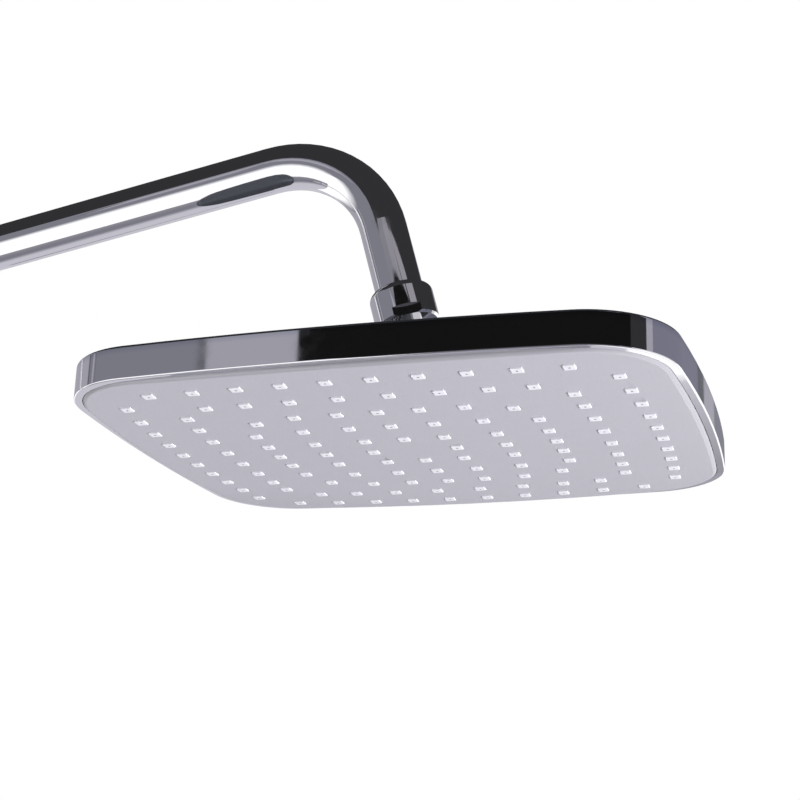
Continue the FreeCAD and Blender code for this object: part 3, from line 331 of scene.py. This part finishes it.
def moulded_rubber():
    """Matt black rubber with the fine pits of its mould and a grey bloom."""
    material, shader, place = new_finish(
        "moulded_rubber", np.mean(RUBBER_COLOURS, axis=0), RUBBER_ROUGHNESS)
    bloom = grain(material, place, BLOOM_SIZE)
    tint(material, bloom, RUBBER_COLOURS, shader)
    pits = grain(material, place, PIT_SIZE)
    relief(material, pits, PIT_DEPTH, shader)
    return material


rubber = moulded_rubber()
dress(rubber, "spigot_orings", "inlet_gasket", "regulator_oring", "seat_oring", "hub_oring")

# Arm
# One drawn brass tube of 22 mm, bent twice on a mandrel, polished and chromed. The spigot is brazed into
# its foot and the outlet into its lower end.

dress(chrome, "arm_tube")

# What sits in the collar
# The brass outlet brazed into the arm, the drilled steel filter and the flow regulator, which is moulded
# from bearing plastic. The collar, screwed onto the outlet, keeps the loose ones in.

ACETAL_COLOURS = ((0.76, 0.75, 0.70), (0.83, 0.82, 0.79))
ACETAL_ROUGHNESS = (0.32, 0.46)
WAX_SIZE = 0.004


def moulded_acetal():
    """Off-white bearing plastic, slightly waxy."""
    material, shader, place = new_finish(
        "moulded_acetal", np.mean(ACETAL_COLOURS, axis=0), np.mean(ACETAL_ROUGHNESS))
    wax = grain(material, place, WAX_SIZE)
    tint(material, wax, ACETAL_COLOURS, shader)
    vary(material, wax, ACETAL_ROUGHNESS, shader.inputs["Roughness"])
    return material


acetal = moulded_acetal()
dress(brass, "arm_outlet")
dress(steel, "filter_mesh")
dress(acetal, "flow_regulator")

# Collar with the ball
# Turned brass, chromed: a union collar with two wrench flats, a neck and the ball below it, in one
# piece. It is screwed onto the arm's outlet.

dress(chrome, "ball_stem")

# Ball socket
# A chromed ring nut screwed over a brass insert, with the two acetal seats for the ball between them.
# The insert's tail holds the shell and the water chamber together.

dress(acetal, "upper_seat", "lower_seat")
dress(chrome, "retaining_collar")
dress(brass, "socket_insert")

# Top shell
# Moulded plastic with bright chrome plating on its rim, and a darker satin back. Its plated skin is a
# little wavier than metal's, and its boss is clamped under the socket's insert.

RIM_COLOUR = (0.78, 0.78, 0.81)
RIM_WAVE = 0.02
RIM_TOP = 0.1287
RIM_ROUND = 0.0005
RIM_EDGE = (RIM_TOP - RIM_ROUND, RIM_TOP)
BACK_COLOUR = (0.50, 0.535, 0.61)
BACK_ROUGHNESS = 0.32
BACK_METAL = 0.82


def plated_plastic():
    """Bright plating on the rim that turns darker and satin over the back, above the rim's top."""
    material = polished_chrome("chrome_on_plastic", RIM_COLOUR, RIM_WAVE)
    tree = material.node_tree
    shader = tree.nodes["Principled BSDF"]
    place = tree.nodes["Texture Coordinate"].outputs["Object"]
    split = tree.nodes.new("ShaderNodeSeparateXYZ")
    tree.links.new(place, split.inputs["Vector"])
    height = split.outputs["Z"]
    tint(material, height, (RIM_COLOUR, BACK_COLOUR), shader, RIM_EDGE)
    vary(material, height, (1.0, BACK_METAL), shader.inputs["Metallic"], RIM_EDGE)
    rougher = tree.nodes.new("ShaderNodeMath")
    rougher.operation = "MAXIMUM"
    polish = shader.inputs["Roughness"].links[0].from_socket
    tree.links.new(polish, rougher.inputs[0])
    vary(material, height, (0.0, BACK_ROUGHNESS), rougher.inputs[1], RIM_EDGE)
    tree.links.new(rougher.outputs["Value"], shader.inputs["Roughness"])
    return material


dress(plated_plastic(), "top_shell")

# Water chamber
# Grey moulded lid over the nozzle mat, with the hub that the insert's tail is screwed into. Eight
# pan-head screws hold it on the face plate's pillars.

CHAMBER_COLOURS = ((0.14, 0.145, 0.155), (0.18, 0.185, 0.195))
CHAMBER_ROUGHNESS = 0.5
FLOW_MARK_SIZE = 0.01
SPARK_SIZE = 0.0004
SPARK_DEPTH = 0.00002


def moulded_grey():
    """Grey engineering plastic with faint flow marks and a fine spark-eroded grain."""
    material, shader, place = new_finish(
        "moulded_grey", np.mean(CHAMBER_COLOURS, axis=0), CHAMBER_ROUGHNESS)
    flow_mark = grain(material, place, FLOW_MARK_SIZE)
    tint(material, flow_mark, CHAMBER_COLOURS, shader)
    spark = grain(material, place, SPARK_SIZE)
    relief(material, spark, SPARK_DEPTH, shader)
    return material


dress(moulded_grey(), "chamber_plate")
dress(steel, "chamber_screws")

# Nozzle mat
# One mat of white silicone, moulded in one shot: a thin domed sheet behind the face plate, notched
# round the plate's pillars, with 120 square nozzles that stand out through the plate's holes.

SILICONE_COLOURS = ((0.86, 0.845, 0.905), (0.91, 0.895, 0.955))
SILICONE_ROUGHNESS = 0.5
DUST_SIZE = 0.002
SKIN_SIZE = 0.0003
SKIN_DEPTH = 0.00002
# Colour down in the jets: a rosy tint with painted shade, and how fast it comes in along the jet
JET_ROSE_AND_SHADE_COLOUR = (0.20, 0.03, 0.03)
JET_ROSE_AND_SHADE_LIMITS = (0.0, 0.25)

HEAD_CENTRE = np.array([455.0, 0.0, 109.63])
DOME_X = 4450.0
DOME_Y = 2530.0

# Half sizes of the outer and the inmost ring of nozzles
OUTER_RING = np.array([107.5, 91.2])
CORE_RING = np.array([19.1, 16.4])
# Nozzles in a row and in a column of each ring, from the outer ring inwards, each with the gap from the
# last nozzle to the ring's half size, and how much their steps widen
ROWS = ((10, 20.8), (8, 16.3), (5, 26.6), (5, 1.5), (3, 1.2))
COLUMNS = ((10, 17.8), (8, 14.3), (5, 22.8), (3, 19.2), (1, 0.0))
SPREADS = (0.0011, -0.0060, 0.0120, 0.0200, 0.0)
ROW_BOW = 1025.0
COLUMN_BOW = 638.0
CORNER_RING = 2
CORNER_GAP = np.array([7.6, 6.3])
QUARTERS = np.array([(1, 1), (-1, 1), (-1, -1), (1, -1)])

# Half width, corner radius, half angle of a corner and level of a nozzle's rings, from its jet outwards
NOZZLE_RINGS = np.array([(0.42, 0.42, 30.0, 1.2), (0.62, 0.62, 30.0, 0.0), (2.22, 0.30, 45.0, 0.0),
                         (2.40, 0.30, 45.0, 0.22), (2.40, 0.30, 45.0, 3.4)])
JET_RING = 0
TIP_RINGS = (1, 2)
CORNER_ANGLES = (45.0, 135.0, 225.0, 315.0)
CORNER_STEPS = (-1, 0, 1)

SHEET_HALF = np.array([124.4, 104.9])
SHEET_POWER = 5.7
SHEET_LEVELS = (2.65, 4.2)
SHEET_POINTS = 360
SHEET_SCALES = np.array([0.02, 0.35, 0.7, 1.0])
PILLAR_ROW = np.array([42.0, 99.5])
PILLAR_COLUMN = np.array([119.1, 36.0])
NOTCH_DEPTH = 22.0
NOTCH_WIDTH = 5.5


def shade_and_tint(material, pattern, colour, shader, limits):
    """Turn the base colour to another colour as the pattern goes from limit to limit: the plate border's
    painted shade, and the jets' rosy tint with painted shade.
    """
    tree = material.node_tree
    blend = tree.nodes.new("ShaderNodeMix")
    blend.data_type = "RGBA"
    blend.inputs["B"].default_value = (*colour, 1.0)
    untouched_colour = shader.inputs["Base Color"].links[0].from_socket
    tree.links.new(untouched_colour, blend.inputs["A"])
    vary(material, pattern, (0.0, 1.0), blend.inputs["Factor"], limits)
    tree.links.new(blend.outputs["Result"], shader.inputs["Base Color"])


def white_silicone():
    """Soft white silicone, matt and faintly dusty, with a rosy tint and painted shade down in the jets."""
    material, shader, place = new_finish(
        "white_silicone", np.mean(SILICONE_COLOURS, axis=0), SILICONE_ROUGHNESS)
    dust = grain(material, place, DUST_SIZE)
    tint(material, dust, SILICONE_COLOURS, shader)
    # The jets' rosy tint with painted shade, from an attribute that is one at each jet's bottom ring
    jet = material.node_tree.nodes.new("ShaderNodeAttribute")
    jet.attribute_name = "jet"
    shade_and_tint(material, jet.outputs["Fac"], JET_ROSE_AND_SHADE_COLOUR, shader, JET_ROSE_AND_SHADE_LIMITS)
    skin = grain(material, place, SKIN_SIZE)
    relief(material, skin, SKIN_DEPTH, shader)
    return material


def dome(x, y):
    """Rise of the head's face from its middle: an arc along Y, whose top follows an arc along X."""
    along = DOME_X - np.sqrt(DOME_X ** 2 - x ** 2)
    return DOME_Y - np.sqrt((DOME_Y - along) ** 2 - y ** 2)


def row_places(count, half, gap, spread):
    """Places along a row, even about its middle, whose steps widen outwards by the spread.

    A place is its share of the half row plus the spread's part of that share cubed, scaled so that the
    last one ends the gap short of the half size.
    """
    last = (count - 1) / 2
    step = (np.arange(count) - last) / max(last, 1)
    stretch = spread * last ** 2
    return (half - gap) * step * (1 + stretch * step ** 2) / (1 + stretch)


def nozzle_spots():
    """Centres of the nozzles: five rings, each of two bowed rows along X and two bowed columns along Y.

    A row bows by its distance from the middle, squared, over twice its radius. The middle ring also has
    a nozzle near each corner.
    """
    spots = []
    for ring, ((across, row_gap), (up, column_gap), spread) in enumerate(zip(ROWS, COLUMNS, SPREADS)):
        half_x, half_y = OUTER_RING + (CORE_RING - OUTER_RING) * ring / (len(ROWS) - 1)
        x = row_places(across, half_x, row_gap, spread)
        y = half_y - x ** 2 / 2 / ROW_BOW
        spots += [np.stack([x, y], axis=1), np.stack([x, -y], axis=1)]
        y = row_places(up, half_y, column_gap, spread)
        x = half_x - y ** 2 / 2 / COLUMN_BOW
        spots += [np.stack([x, y], axis=1), np.stack([-x, y], axis=1)]
        if ring == CORNER_RING:
            spots.append(([half_x, half_y] - CORNER_GAP) * QUARTERS)
    return np.vstack(spots)


def nozzles(spots):
    """Points and normals of the nozzles, three points to a corner of each ring.

    A corner is an arc about a centre, its radius in from the half width: a ring whose radius is its half
    width is a circle. Tips look down, sides outwards and the jet's wall inwards.
    """
    half, radius, spread, level = NOZZLE_RINGS.T[:, :, None]
    middle = np.repeat(CORNER_ANGLES, len(CORNER_STEPS))
    angle = np.radians(middle + spread * np.tile(CORNER_STEPS, len(CORNER_ANGLES)))
    facing = np.stack([np.cos(angle), np.sin(angle), 0 * angle], axis=-1)
    quarter = np.repeat(QUARTERS, len(CORNER_STEPS), axis=0)
    plan = quarter * (half - radius)[:, :, None] + facing[:, :, :2] * radius[:, :, None]
    placed = spots[:, None, None] + plan
    height = dome(*spots.T)[:, None, None] + level + 0 * angle
    normals = facing.copy()
    normals[JET_RING] *= -1
    normals[TIP_RINGS, :] = (0, 0, -1)
    points = np.concatenate([placed, height[..., None]], axis=-1)
    return points, np.broadcast_to(normals, points.shape)


def mat_sheet():
    """Points and normals of the sheet: a superellipse, notched by a bell curve round each pillar.

    Rings go outwards along its lower face and back along its upper face, both on the dome.
    """
    turn = np.arange(SHEET_POINTS) * 2 * np.pi / SHEET_POINTS
    ray = np.stack([np.cos(turn), np.sin(turn)], axis=1)
    reach = np.sum(np.abs(ray / SHEET_HALF) ** SHEET_POWER, axis=1) ** (-1 / SHEET_POWER)
    pillars = np.vstack([PILLAR_ROW * QUARTERS, PILLAR_COLUMN * QUARTERS])
    apart = np.sum((reach[:, None, None] * ray[:, None] - pillars) ** 2, axis=2).min(axis=1)
    edge = ray * (reach - NOTCH_DEPTH * np.exp(-apart / NOTCH_WIDTH ** 2))[:, None]
    scale = np.concatenate([SHEET_SCALES, SHEET_SCALES[::-1]])
    plan = scale[:, None, None] * edge
    level = np.repeat(SHEET_LEVELS, len(SHEET_SCALES))[:, None]
    height = level + dome(plan[..., 0], plan[..., 1])
    normals = np.zeros((*height.shape, 3))
    normals[..., 2] = np.sign(level - np.mean(SHEET_LEVELS))
    return np.concatenate([plan, height[..., None]], axis=-1), normals


posts, post_normals = nozzles(nozzle_spots())
sheet, sheet_normals = mat_sheet()
post_points = posts.size // 3
mat_points = (np.vstack([posts.reshape(-1, 3), sheet.reshape(-1, 3)]) + HEAD_CENTRE) * MM
mat_faces = tube_faces(*posts.shape[:3]) + tube_faces(1, *sheet.shape[:2], first=post_points)
silicone = white_silicone()
mat = make_piece("silicone_mat", mat_points, mat_faces, silicone, "head", "white_silicone", "nozzle_mat")
mat.data.normals_split_custom_set_from_vertices(
    np.vstack([post_normals.reshape(-1, 3), sheet_normals.reshape(-1, 3)]))
# Attribute for the jets' rosy tint and painted shade: one at each jet's bottom ring, zero elsewhere
jet_rose_and_shade = np.zeros(len(mat_points))
jet_rose_and_shade[:post_points].reshape(posts.shape[:3])[:, JET_RING] = 1.0
mat.data.attributes.new("jet", "FLOAT", "POINT").data.foreach_set("value", jet_rose_and_shade)

# Face plate
# Domed plastic plate with a square hole for each nozzle, painted satin silver. Pillars on its back take
# the chamber's screws, which press the mat between plate and lid.

SILVER_COLOURS = ((0.52, 0.51, 0.56), (0.58, 0.57, 0.62))
SILVER_ROUGHNESS = (0.38, 0.46)
SILVER_METAL = 0.25
FLAKE_SIZE = 0.0005
FLAKE_DEPTH = 0.00001
LACQUER_SIZE = 0.02
# Painted shade round the plate's border: its colour, and the span of the face's downward normal over which
# it comes in
BORDER_PAINTED_SHADE_COLOUR = (0.42, 0.415, 0.455)
BORDER_PAINTED_SHADE_LIMITS = (-0.985, -0.85)


def satin_silver():
    """Silver paint: fine flakes under a satin lacquer, and painted shade round the border, where the face
    turns from down.
    """
    material, shader, place = new_finish(
        "satin_silver", np.mean(SILVER_COLOURS, axis=0), np.mean(SILVER_ROUGHNESS), SILVER_METAL)
    flake = grain(material, place, FLAKE_SIZE)
    tint(material, flake, SILVER_COLOURS, shader)
    split = material.node_tree.nodes.new("ShaderNodeSeparateXYZ")
    material.node_tree.links.new(place.node.outputs["Normal"], split.inputs["Vector"])
    # Painted shade: the base colour darkens where the face turns from down, round the plate's border
    shade_and_tint(material, split.outputs["Z"], BORDER_PAINTED_SHADE_COLOUR, shader, BORDER_PAINTED_SHADE_LIMITS)
    lacquer = grain(material, place, LACQUER_SIZE)
    vary(material, lacquer, SILVER_ROUGHNESS, shader.inputs["Roughness"])
    relief(material, flake, FLAKE_DEPTH, shader)
    return material


dress(satin_silver(), "face_plate")

# Studio
# A pale floor, a white surround and three soft lamps. The cards round the object only show mirrored in
# its plating, and the two low lamps don't light the floor.

FLOOR_LEVEL = -0.85
FLOOR_HALF = 30.0
FLOOR_COLOUR = (0.80, 0.80, 0.82)
FLOOR_ROUGHNESS = 0.7
FLOOR_GLOW = 0.75
SOFT_COLOUR = (0.75, 0.75, 0.80)
SOFT_STRENGTH = 0.2


def plane(name, corners):
    """Flat sheet with four corners, in order round its edge."""
    mesh = bpy.data.meshes.new(name)
    mesh.from_pydata(corners, [], [(0, 1, 2, 3)])
    flat = bpy.data.objects.new(name, mesh)
    bpy.context.scene.collection.objects.link(flat)
    return flat


def shown_rays(tree):
    """One where a surface is seen, directly, mirrored or through glass, and zero where it only lights."""
    rays = tree.nodes.new("ShaderNodeLightPath")
    shown = rays.outputs["Is Camera Ray"]
    for name in ("Is Glossy Ray", "Is Transmission Ray"):
        either = tree.nodes.new("ShaderNodeMath")
        either.operation = "MAXIMUM"
        tree.links.new(shown, either.inputs[0])
        tree.links.new(rays.outputs[name], either.inputs[1])
        shown = either.outputs["Value"]
    return shown


def pale_paint():
    """Pale matt paint with a share of white where it is seen, which leaves a part of the shadow."""
    material, shader, _ = new_finish("floor_paint", FLOOR_COLOUR, FLOOR_ROUGHNESS)
    tree = material.node_tree
    pale = tree.nodes.new("ShaderNodeEmission")
    share = tree.nodes.new("ShaderNodeMath")
    share.operation = "MULTIPLY"
    share.inputs[1].default_value = FLOOR_GLOW
    tree.links.new(shown_rays(tree), share.inputs[0])
    lit = tree.nodes.new("ShaderNodeMixShader")
    tree.links.new(share.outputs["Value"], lit.inputs["Fac"])
    tree.links.new(shader.outputs["BSDF"], lit.inputs[1])
    tree.links.new(pale.outputs["Emission"], lit.inputs[2])
    tree.links.new(lit.outputs["Shader"], tree.nodes["Material Output"].inputs["Surface"])
    return material


def white_surround():
    """World that is white where it is seen, and otherwise lights the object softly."""
    world = bpy.data.worlds.new("studio")
    world.use_nodes = True
    tree = world.node_tree
    soft = tree.nodes["Background"]
    soft.inputs["Color"].default_value = (*SOFT_COLOUR, 1.0)
    soft.inputs["Strength"].default_value = SOFT_STRENGTH
    white = tree.nodes.new("ShaderNodeBackground")
    white.inputs["Color"].default_value = (1.0, 1.0, 1.0, 1.0)
    choice = tree.nodes.new("ShaderNodeMixShader")
    tree.links.new(shown_rays(tree), choice.inputs["Fac"])
    tree.links.new(soft.outputs["Background"], choice.inputs[1])
    tree.links.new(white.outputs["Background"], choice.inputs[2])
    tree.links.new(choice.outputs["Shader"], tree.nodes["World Output"].inputs["Surface"])
    return world


floor = plane("floor", [(-FLOOR_HALF, -FLOOR_HALF, FLOOR_LEVEL), (FLOOR_HALF, -FLOOR_HALF, FLOOR_LEVEL),
                        (FLOOR_HALF, FLOOR_HALF, FLOOR_LEVEL), (-FLOOR_HALF, FLOOR_HALF, FLOOR_LEVEL)])
floor.data.materials.append(pale_paint())
bpy.context.scene.world = white_surround()

# The box of cards: its walls, its tones from dark to light, and the step of a card before a wall
LEFT = -1.0
RIGHT = 1.95
FRONT = -1.5
BACK = 1.5
ROOF = 1.4
GROUND = -0.49
BLACK = (0.008, 0.008, 0.008)
DARK = (0.036, 0.036, 0.039)
DUSK = (0.15, 0.15, 0.17)
SLATE = (0.22, 0.22, 0.28)
GREY = (0.24, 0.24, 0.28)
ASH = (0.28, 0.27, 0.30)
HAZE = (0.345, 0.33, 0.365)
MIST = (0.42, 0.41, 0.46)
PALE = (0.66, 0.65, 0.71)
WHITE = (1.3, 1.3, 1.3)
STEP = 0.01
PANEL = FRONT + STEP
SLAT = LEFT + STEP
SKIRT = BACK - STEP
LIGHT_ROOF = ROOF - STEP
FLAG = -0.7
WING_END = 0.08

# Name, two opposite corners in plan, height, and tones at the near and the far edge of a flat card
ROOF_CARD = ("roof", (LEFT, FRONT), (RIGHT, BACK), ROOF, DARK, DARK)
GROUND_CARDS = (
    ("ground_white", (LEFT, FRONT), (0.3, -0.25), GROUND, WHITE, WHITE),
    ("ground_near", (0.3, FRONT), (RIGHT, -0.25), GROUND, GREY, GREY),
    ("ground_dim", (LEFT, -0.25), (0.6, -0.02), GROUND, HAZE, GREY),
    ("ground_band", (LEFT, -0.02), (0.6, 0.13), GROUND, GREY, GREY),
    ("ground_fade", (LEFT, 0.13), (0.6, 0.36), GROUND, GREY, PALE),
    ("ground_far", (LEFT, 0.36), (0.6, BACK), GROUND, PALE, PALE),
    ("ground_right", (0.6, -0.25), (RIGHT, BACK), GROUND, WHITE, WHITE))

# Name, start and end in plan, foot and head height, and tones at the foot and the head of an upright card
FRONT_WALL = (
    ("front_top", (LEFT, FRONT), (RIGHT, FRONT), 0.90, ROOF, DARK, DARK),
    ("front_foot", (WING_END, FRONT), (RIGHT, FRONT), GROUND, 0.90, GREY, GREY))
OTHER_WALLS = (
    ("front_skirt", (0.25, FLAG), (1.30, FLAG), -0.45, 0.30, DUSK, BLACK),
    ("wing", (LEFT, FRONT), (WING_END, FRONT), 0.15, 0.90, GREY, GREY),
    ("wing_fade", (LEFT, FRONT), (WING_END, FRONT), -0.20, 0.15, WHITE, GREY),
    ("wing_foot", (LEFT, FRONT), (WING_END, FRONT), GROUND, -0.20, WHITE, WHITE),
    ("wing_edge", (-0.425, PANEL), (-0.40, PANEL), 0.50, 0.76, DUSK, DUSK),
    ("wing_panel", (-0.40, PANEL), (-0.148, PANEL), 0.50, 0.76, MIST, MIST),
    ("left_top", (LEFT, FRONT), (LEFT, BACK), 0.95, ROOF, DARK, DARK),
    ("left_near", (LEFT, FRONT), (LEFT, -0.05), 0.30, 0.95, GREY, GREY),
    ("left_far", (LEFT, -0.05), (LEFT, BACK), 0.30, 0.95, MIST, MIST),
    ("left_fade", (LEFT, FRONT), (LEFT, BACK), 0.0, 0.30, WHITE, GREY),
    ("left_foot", (LEFT, FRONT), (LEFT, BACK), GROUND, 0.0, WHITE, WHITE),
    ("left_slat", (SLAT, -0.12), (SLAT, -0.05), 0.30, 0.95, DUSK, DUSK),
    ("left_strip", (SLAT, -0.33), (SLAT, -0.25), 0.30, 0.95, MIST, MIST),
    ("left_edge", (SLAT, -0.40), (SLAT, -0.38), 0.30, 0.95, DUSK, DUSK),
    ("right_flag", (RIGHT, FRONT), (RIGHT, -0.7), 0.35, ROOF, BLACK, BLACK),
    ("right_shade", (RIGHT, -0.7), (RIGHT, -0.15), 0.35, ROOF, DARK, DARK),
    ("right_strip", (RIGHT, -0.15), (RIGHT, 0.08), 0.35, ROOF, MIST, MIST),
    ("right_wall", (RIGHT, 0.08), (RIGHT, BACK), 0.45, ROOF, SLATE, SLATE),
    ("right_foot", (RIGHT, FRONT), (RIGHT, -0.7), GROUND, 0.35, GREY, GREY),
    ("back_top", (LEFT, BACK), (RIGHT, BACK), 1.05, ROOF, DARK, DARK),
    ("back_wall", (0.90, BACK), (RIGHT, BACK), 0.50, 1.05, SLATE, SLATE),
    ("back_slat", (0.84, BACK), (0.90, BACK), 0.50, 1.05, DUSK, DUSK),
    ("back_light", (0.72, BACK), (0.84, BACK), 0.50, 1.05, MIST, MIST),
    ("back_shade", (0.20, BACK), (0.72, BACK), 0.50, 1.05, GREY, GREY),
    ("back_far", (LEFT, BACK), (0.20, BACK), 0.50, 1.05, MIST, MIST),
    ("back_foot", (LEFT, BACK), (0.25, BACK), GROUND, 0.50, PALE, PALE),
    ("back_sill", (0.25, BACK), (0.60, BACK), -0.28, 0.50, MIST, MIST),
    ("back_sill_fade", (0.25, BACK), (0.60, BACK), -0.42, -0.28, PALE, HAZE),
    ("back_sill_foot", (0.30, BACK), (0.60, BACK), GROUND, -0.42, WHITE, WHITE),
    ("back_sill_end", (0.25, BACK), (0.30, BACK), GROUND, -0.42, PALE, PALE),
    ("back_white", (0.60, BACK), (RIGHT, BACK), GROUND, 0.50, WHITE, WHITE),
    ("back_skirt", (-0.40, SKIRT), (0.25, SKIRT), GROUND, -0.38, GREY, GREY))

# Name, corners from the start of the foot round to the start of the head, and tones of a slanted card
ROOF_LIGHT = ("roof_light", [(1.15, FRONT, LIGHT_ROOF), (RIGHT, FRONT, LIGHT_ROOF),
                             (RIGHT, -0.8, LIGHT_ROOF), (1.65, -0.8, LIGHT_ROOF)], HAZE, HAZE)
FRONT_PANELS = (
    ("front_glow", [(-0.12, PANEL, 0.70), (0.50, PANEL, 0.70),
                    (0.50, PANEL, 1.085), (-0.12, PANEL, 0.89)], GREY, ASH),
    ("front_light", [(0.50, PANEL, 0.70), (RIGHT, PANEL, 0.70),
                     (1.15, PANEL, ROOF), (0.50, PANEL, 1.085)], GREY, HAZE),
    ("front_flag", [(0.19, FLAG, 0.30), (1.62, FLAG, 0.30),
                    (1.62, FLAG, 1.0), (0.19, FLAG, 0.45)], BLACK, BLACK))


def card(name, corners, foot, head):
    """Card that only the plating mirrors, from one tone along its foot to another along its head."""
    board = plane(name, corners)
    rise = board.data.uv_layers.new(name="rise")
    rise.data.foreach_set("uv", [0, 0, 1, 0, 1, 1, 0, 1])
    material = bpy.data.materials.new(name)
    material.use_nodes = True
    tree = material.node_tree
    place = tree.nodes.new("ShaderNodeTexCoord")
    split = tree.nodes.new("ShaderNodeSeparateXYZ")
    tone = tree.nodes.new("ShaderNodeMix")
    tone.data_type = "RGBA"
    tone.inputs["A"].default_value = (*foot, 1.0)
    tone.inputs["B"].default_value = (*head, 1.0)
    glow = tree.nodes.new("ShaderNodeEmission")
    tree.links.new(place.outputs["UV"], split.inputs["Vector"])
    tree.links.new(split.outputs["Y"], tone.inputs["Factor"])
    tree.links.new(tone.outputs["Result"], glow.inputs["Color"])
    tree.links.new(glow.outputs["Emission"], tree.nodes["Material Output"].inputs["Surface"])
    board.data.materials.append(material)
    board.visible_camera = False
    board.visible_diffuse = False
    board.visible_shadow = False


def flat_card(name, start, end, height, foot, head):
    """Card that lies flat between two corners in plan."""
    (x0, y0), (x1, y1) = start, end
    card(name, [(x0, y0, height), (x1, y0, height), (x1, y1, height), (x0, y1, height)], foot, head)


def upright_card(name, start, end, low, high, foot, head):
    """Card that stands on edge from a start to an end in plan."""
    card(name, [(*start, low), (*end, low), (*end, high), (*start, high)], foot, head)


flat_card(*ROOF_CARD)
card(*ROOF_LIGHT)
for wall_card in FRONT_WALL:
    upright_card(*wall_card)
for slanted_card in FRONT_PANELS:
    card(*slanted_card)
for wall_card in OTHER_WALLS:
    upright_card(*wall_card)
for ground_card in GROUND_CARDS:
    flat_card(*ground_card)

# Name, place, size and power of each lamp
LOW_LAMPS = (("right_lamp", (2.27, -0.555, -0.78), 0.15, 59.0),
             ("left_lamp", (-0.69, -0.25, -0.42), 0.15, 5.0))
TOP_LAMP = ("top_lamp", (0.2, -0.6, 1.3), 1.0, 8.0)
LAMP_AIM = (0.455, 0.0, 0.12)


def lamp(name, place, size, power):
    """Square soft lamp, aimed at the head, that lights the object without showing in the plating."""
    light = bpy.data.lights.new(name, "AREA")
    light.size = size
    light.energy = power
    holder = bpy.data.objects.new(name, light)
    bpy.context.scene.collection.objects.link(holder)
    holder.location = place
    holder.rotation_euler = (Vector(LAMP_AIM) - Vector(place)).to_track_quat("-Z", "Y").to_euler()
    holder.visible_glossy = False
    return holder


dim_floor = bpy.data.collections.new("dim_floor")
dim_floor.objects.link(floor)
dim_floor.collection_objects[0].light_linking.link_state = "EXCLUDE"
for low_lamp in LOW_LAMPS:
    lamp(*low_lamp).light_linking.receiver_collection = dim_floor
lamp(*TOP_LAMP)

# Camera
# Below the head and in front of it, as the photograph was taken: its place, the point that it aims at,
# its roll and its lens were fitted to the nozzles and the outline.

CAMERA_PLACE = Vector((0.6583, -0.6579, -0.0901))
CAMERA_AIM = Vector((0.4549, -0.0238, 0.1256))
CAMERA_ROLL = math.radians(1.823)
CAMERA_LENS = 73.53
SENSOR_WIDTH = 36.0
NEAREST = 0.01

lens = bpy.data.cameras.new("camera")
lens.sensor_width = SENSOR_WIDTH
lens.lens = CAMERA_LENS
lens.clip_start = NEAREST
camera = bpy.data.objects.new("camera", lens)
bpy.context.scene.collection.objects.link(camera)
camera.location = CAMERA_PLACE
aimed = (CAMERA_AIM - CAMERA_PLACE).to_track_quat("-Z", "Y")
camera.rotation_euler = (aimed @ Quaternion((0, 0, 1), CAMERA_ROLL)).to_euler()
bpy.context.scene.camera = camera
bpy.context.scene.view_settings.view_transform = "Standard"
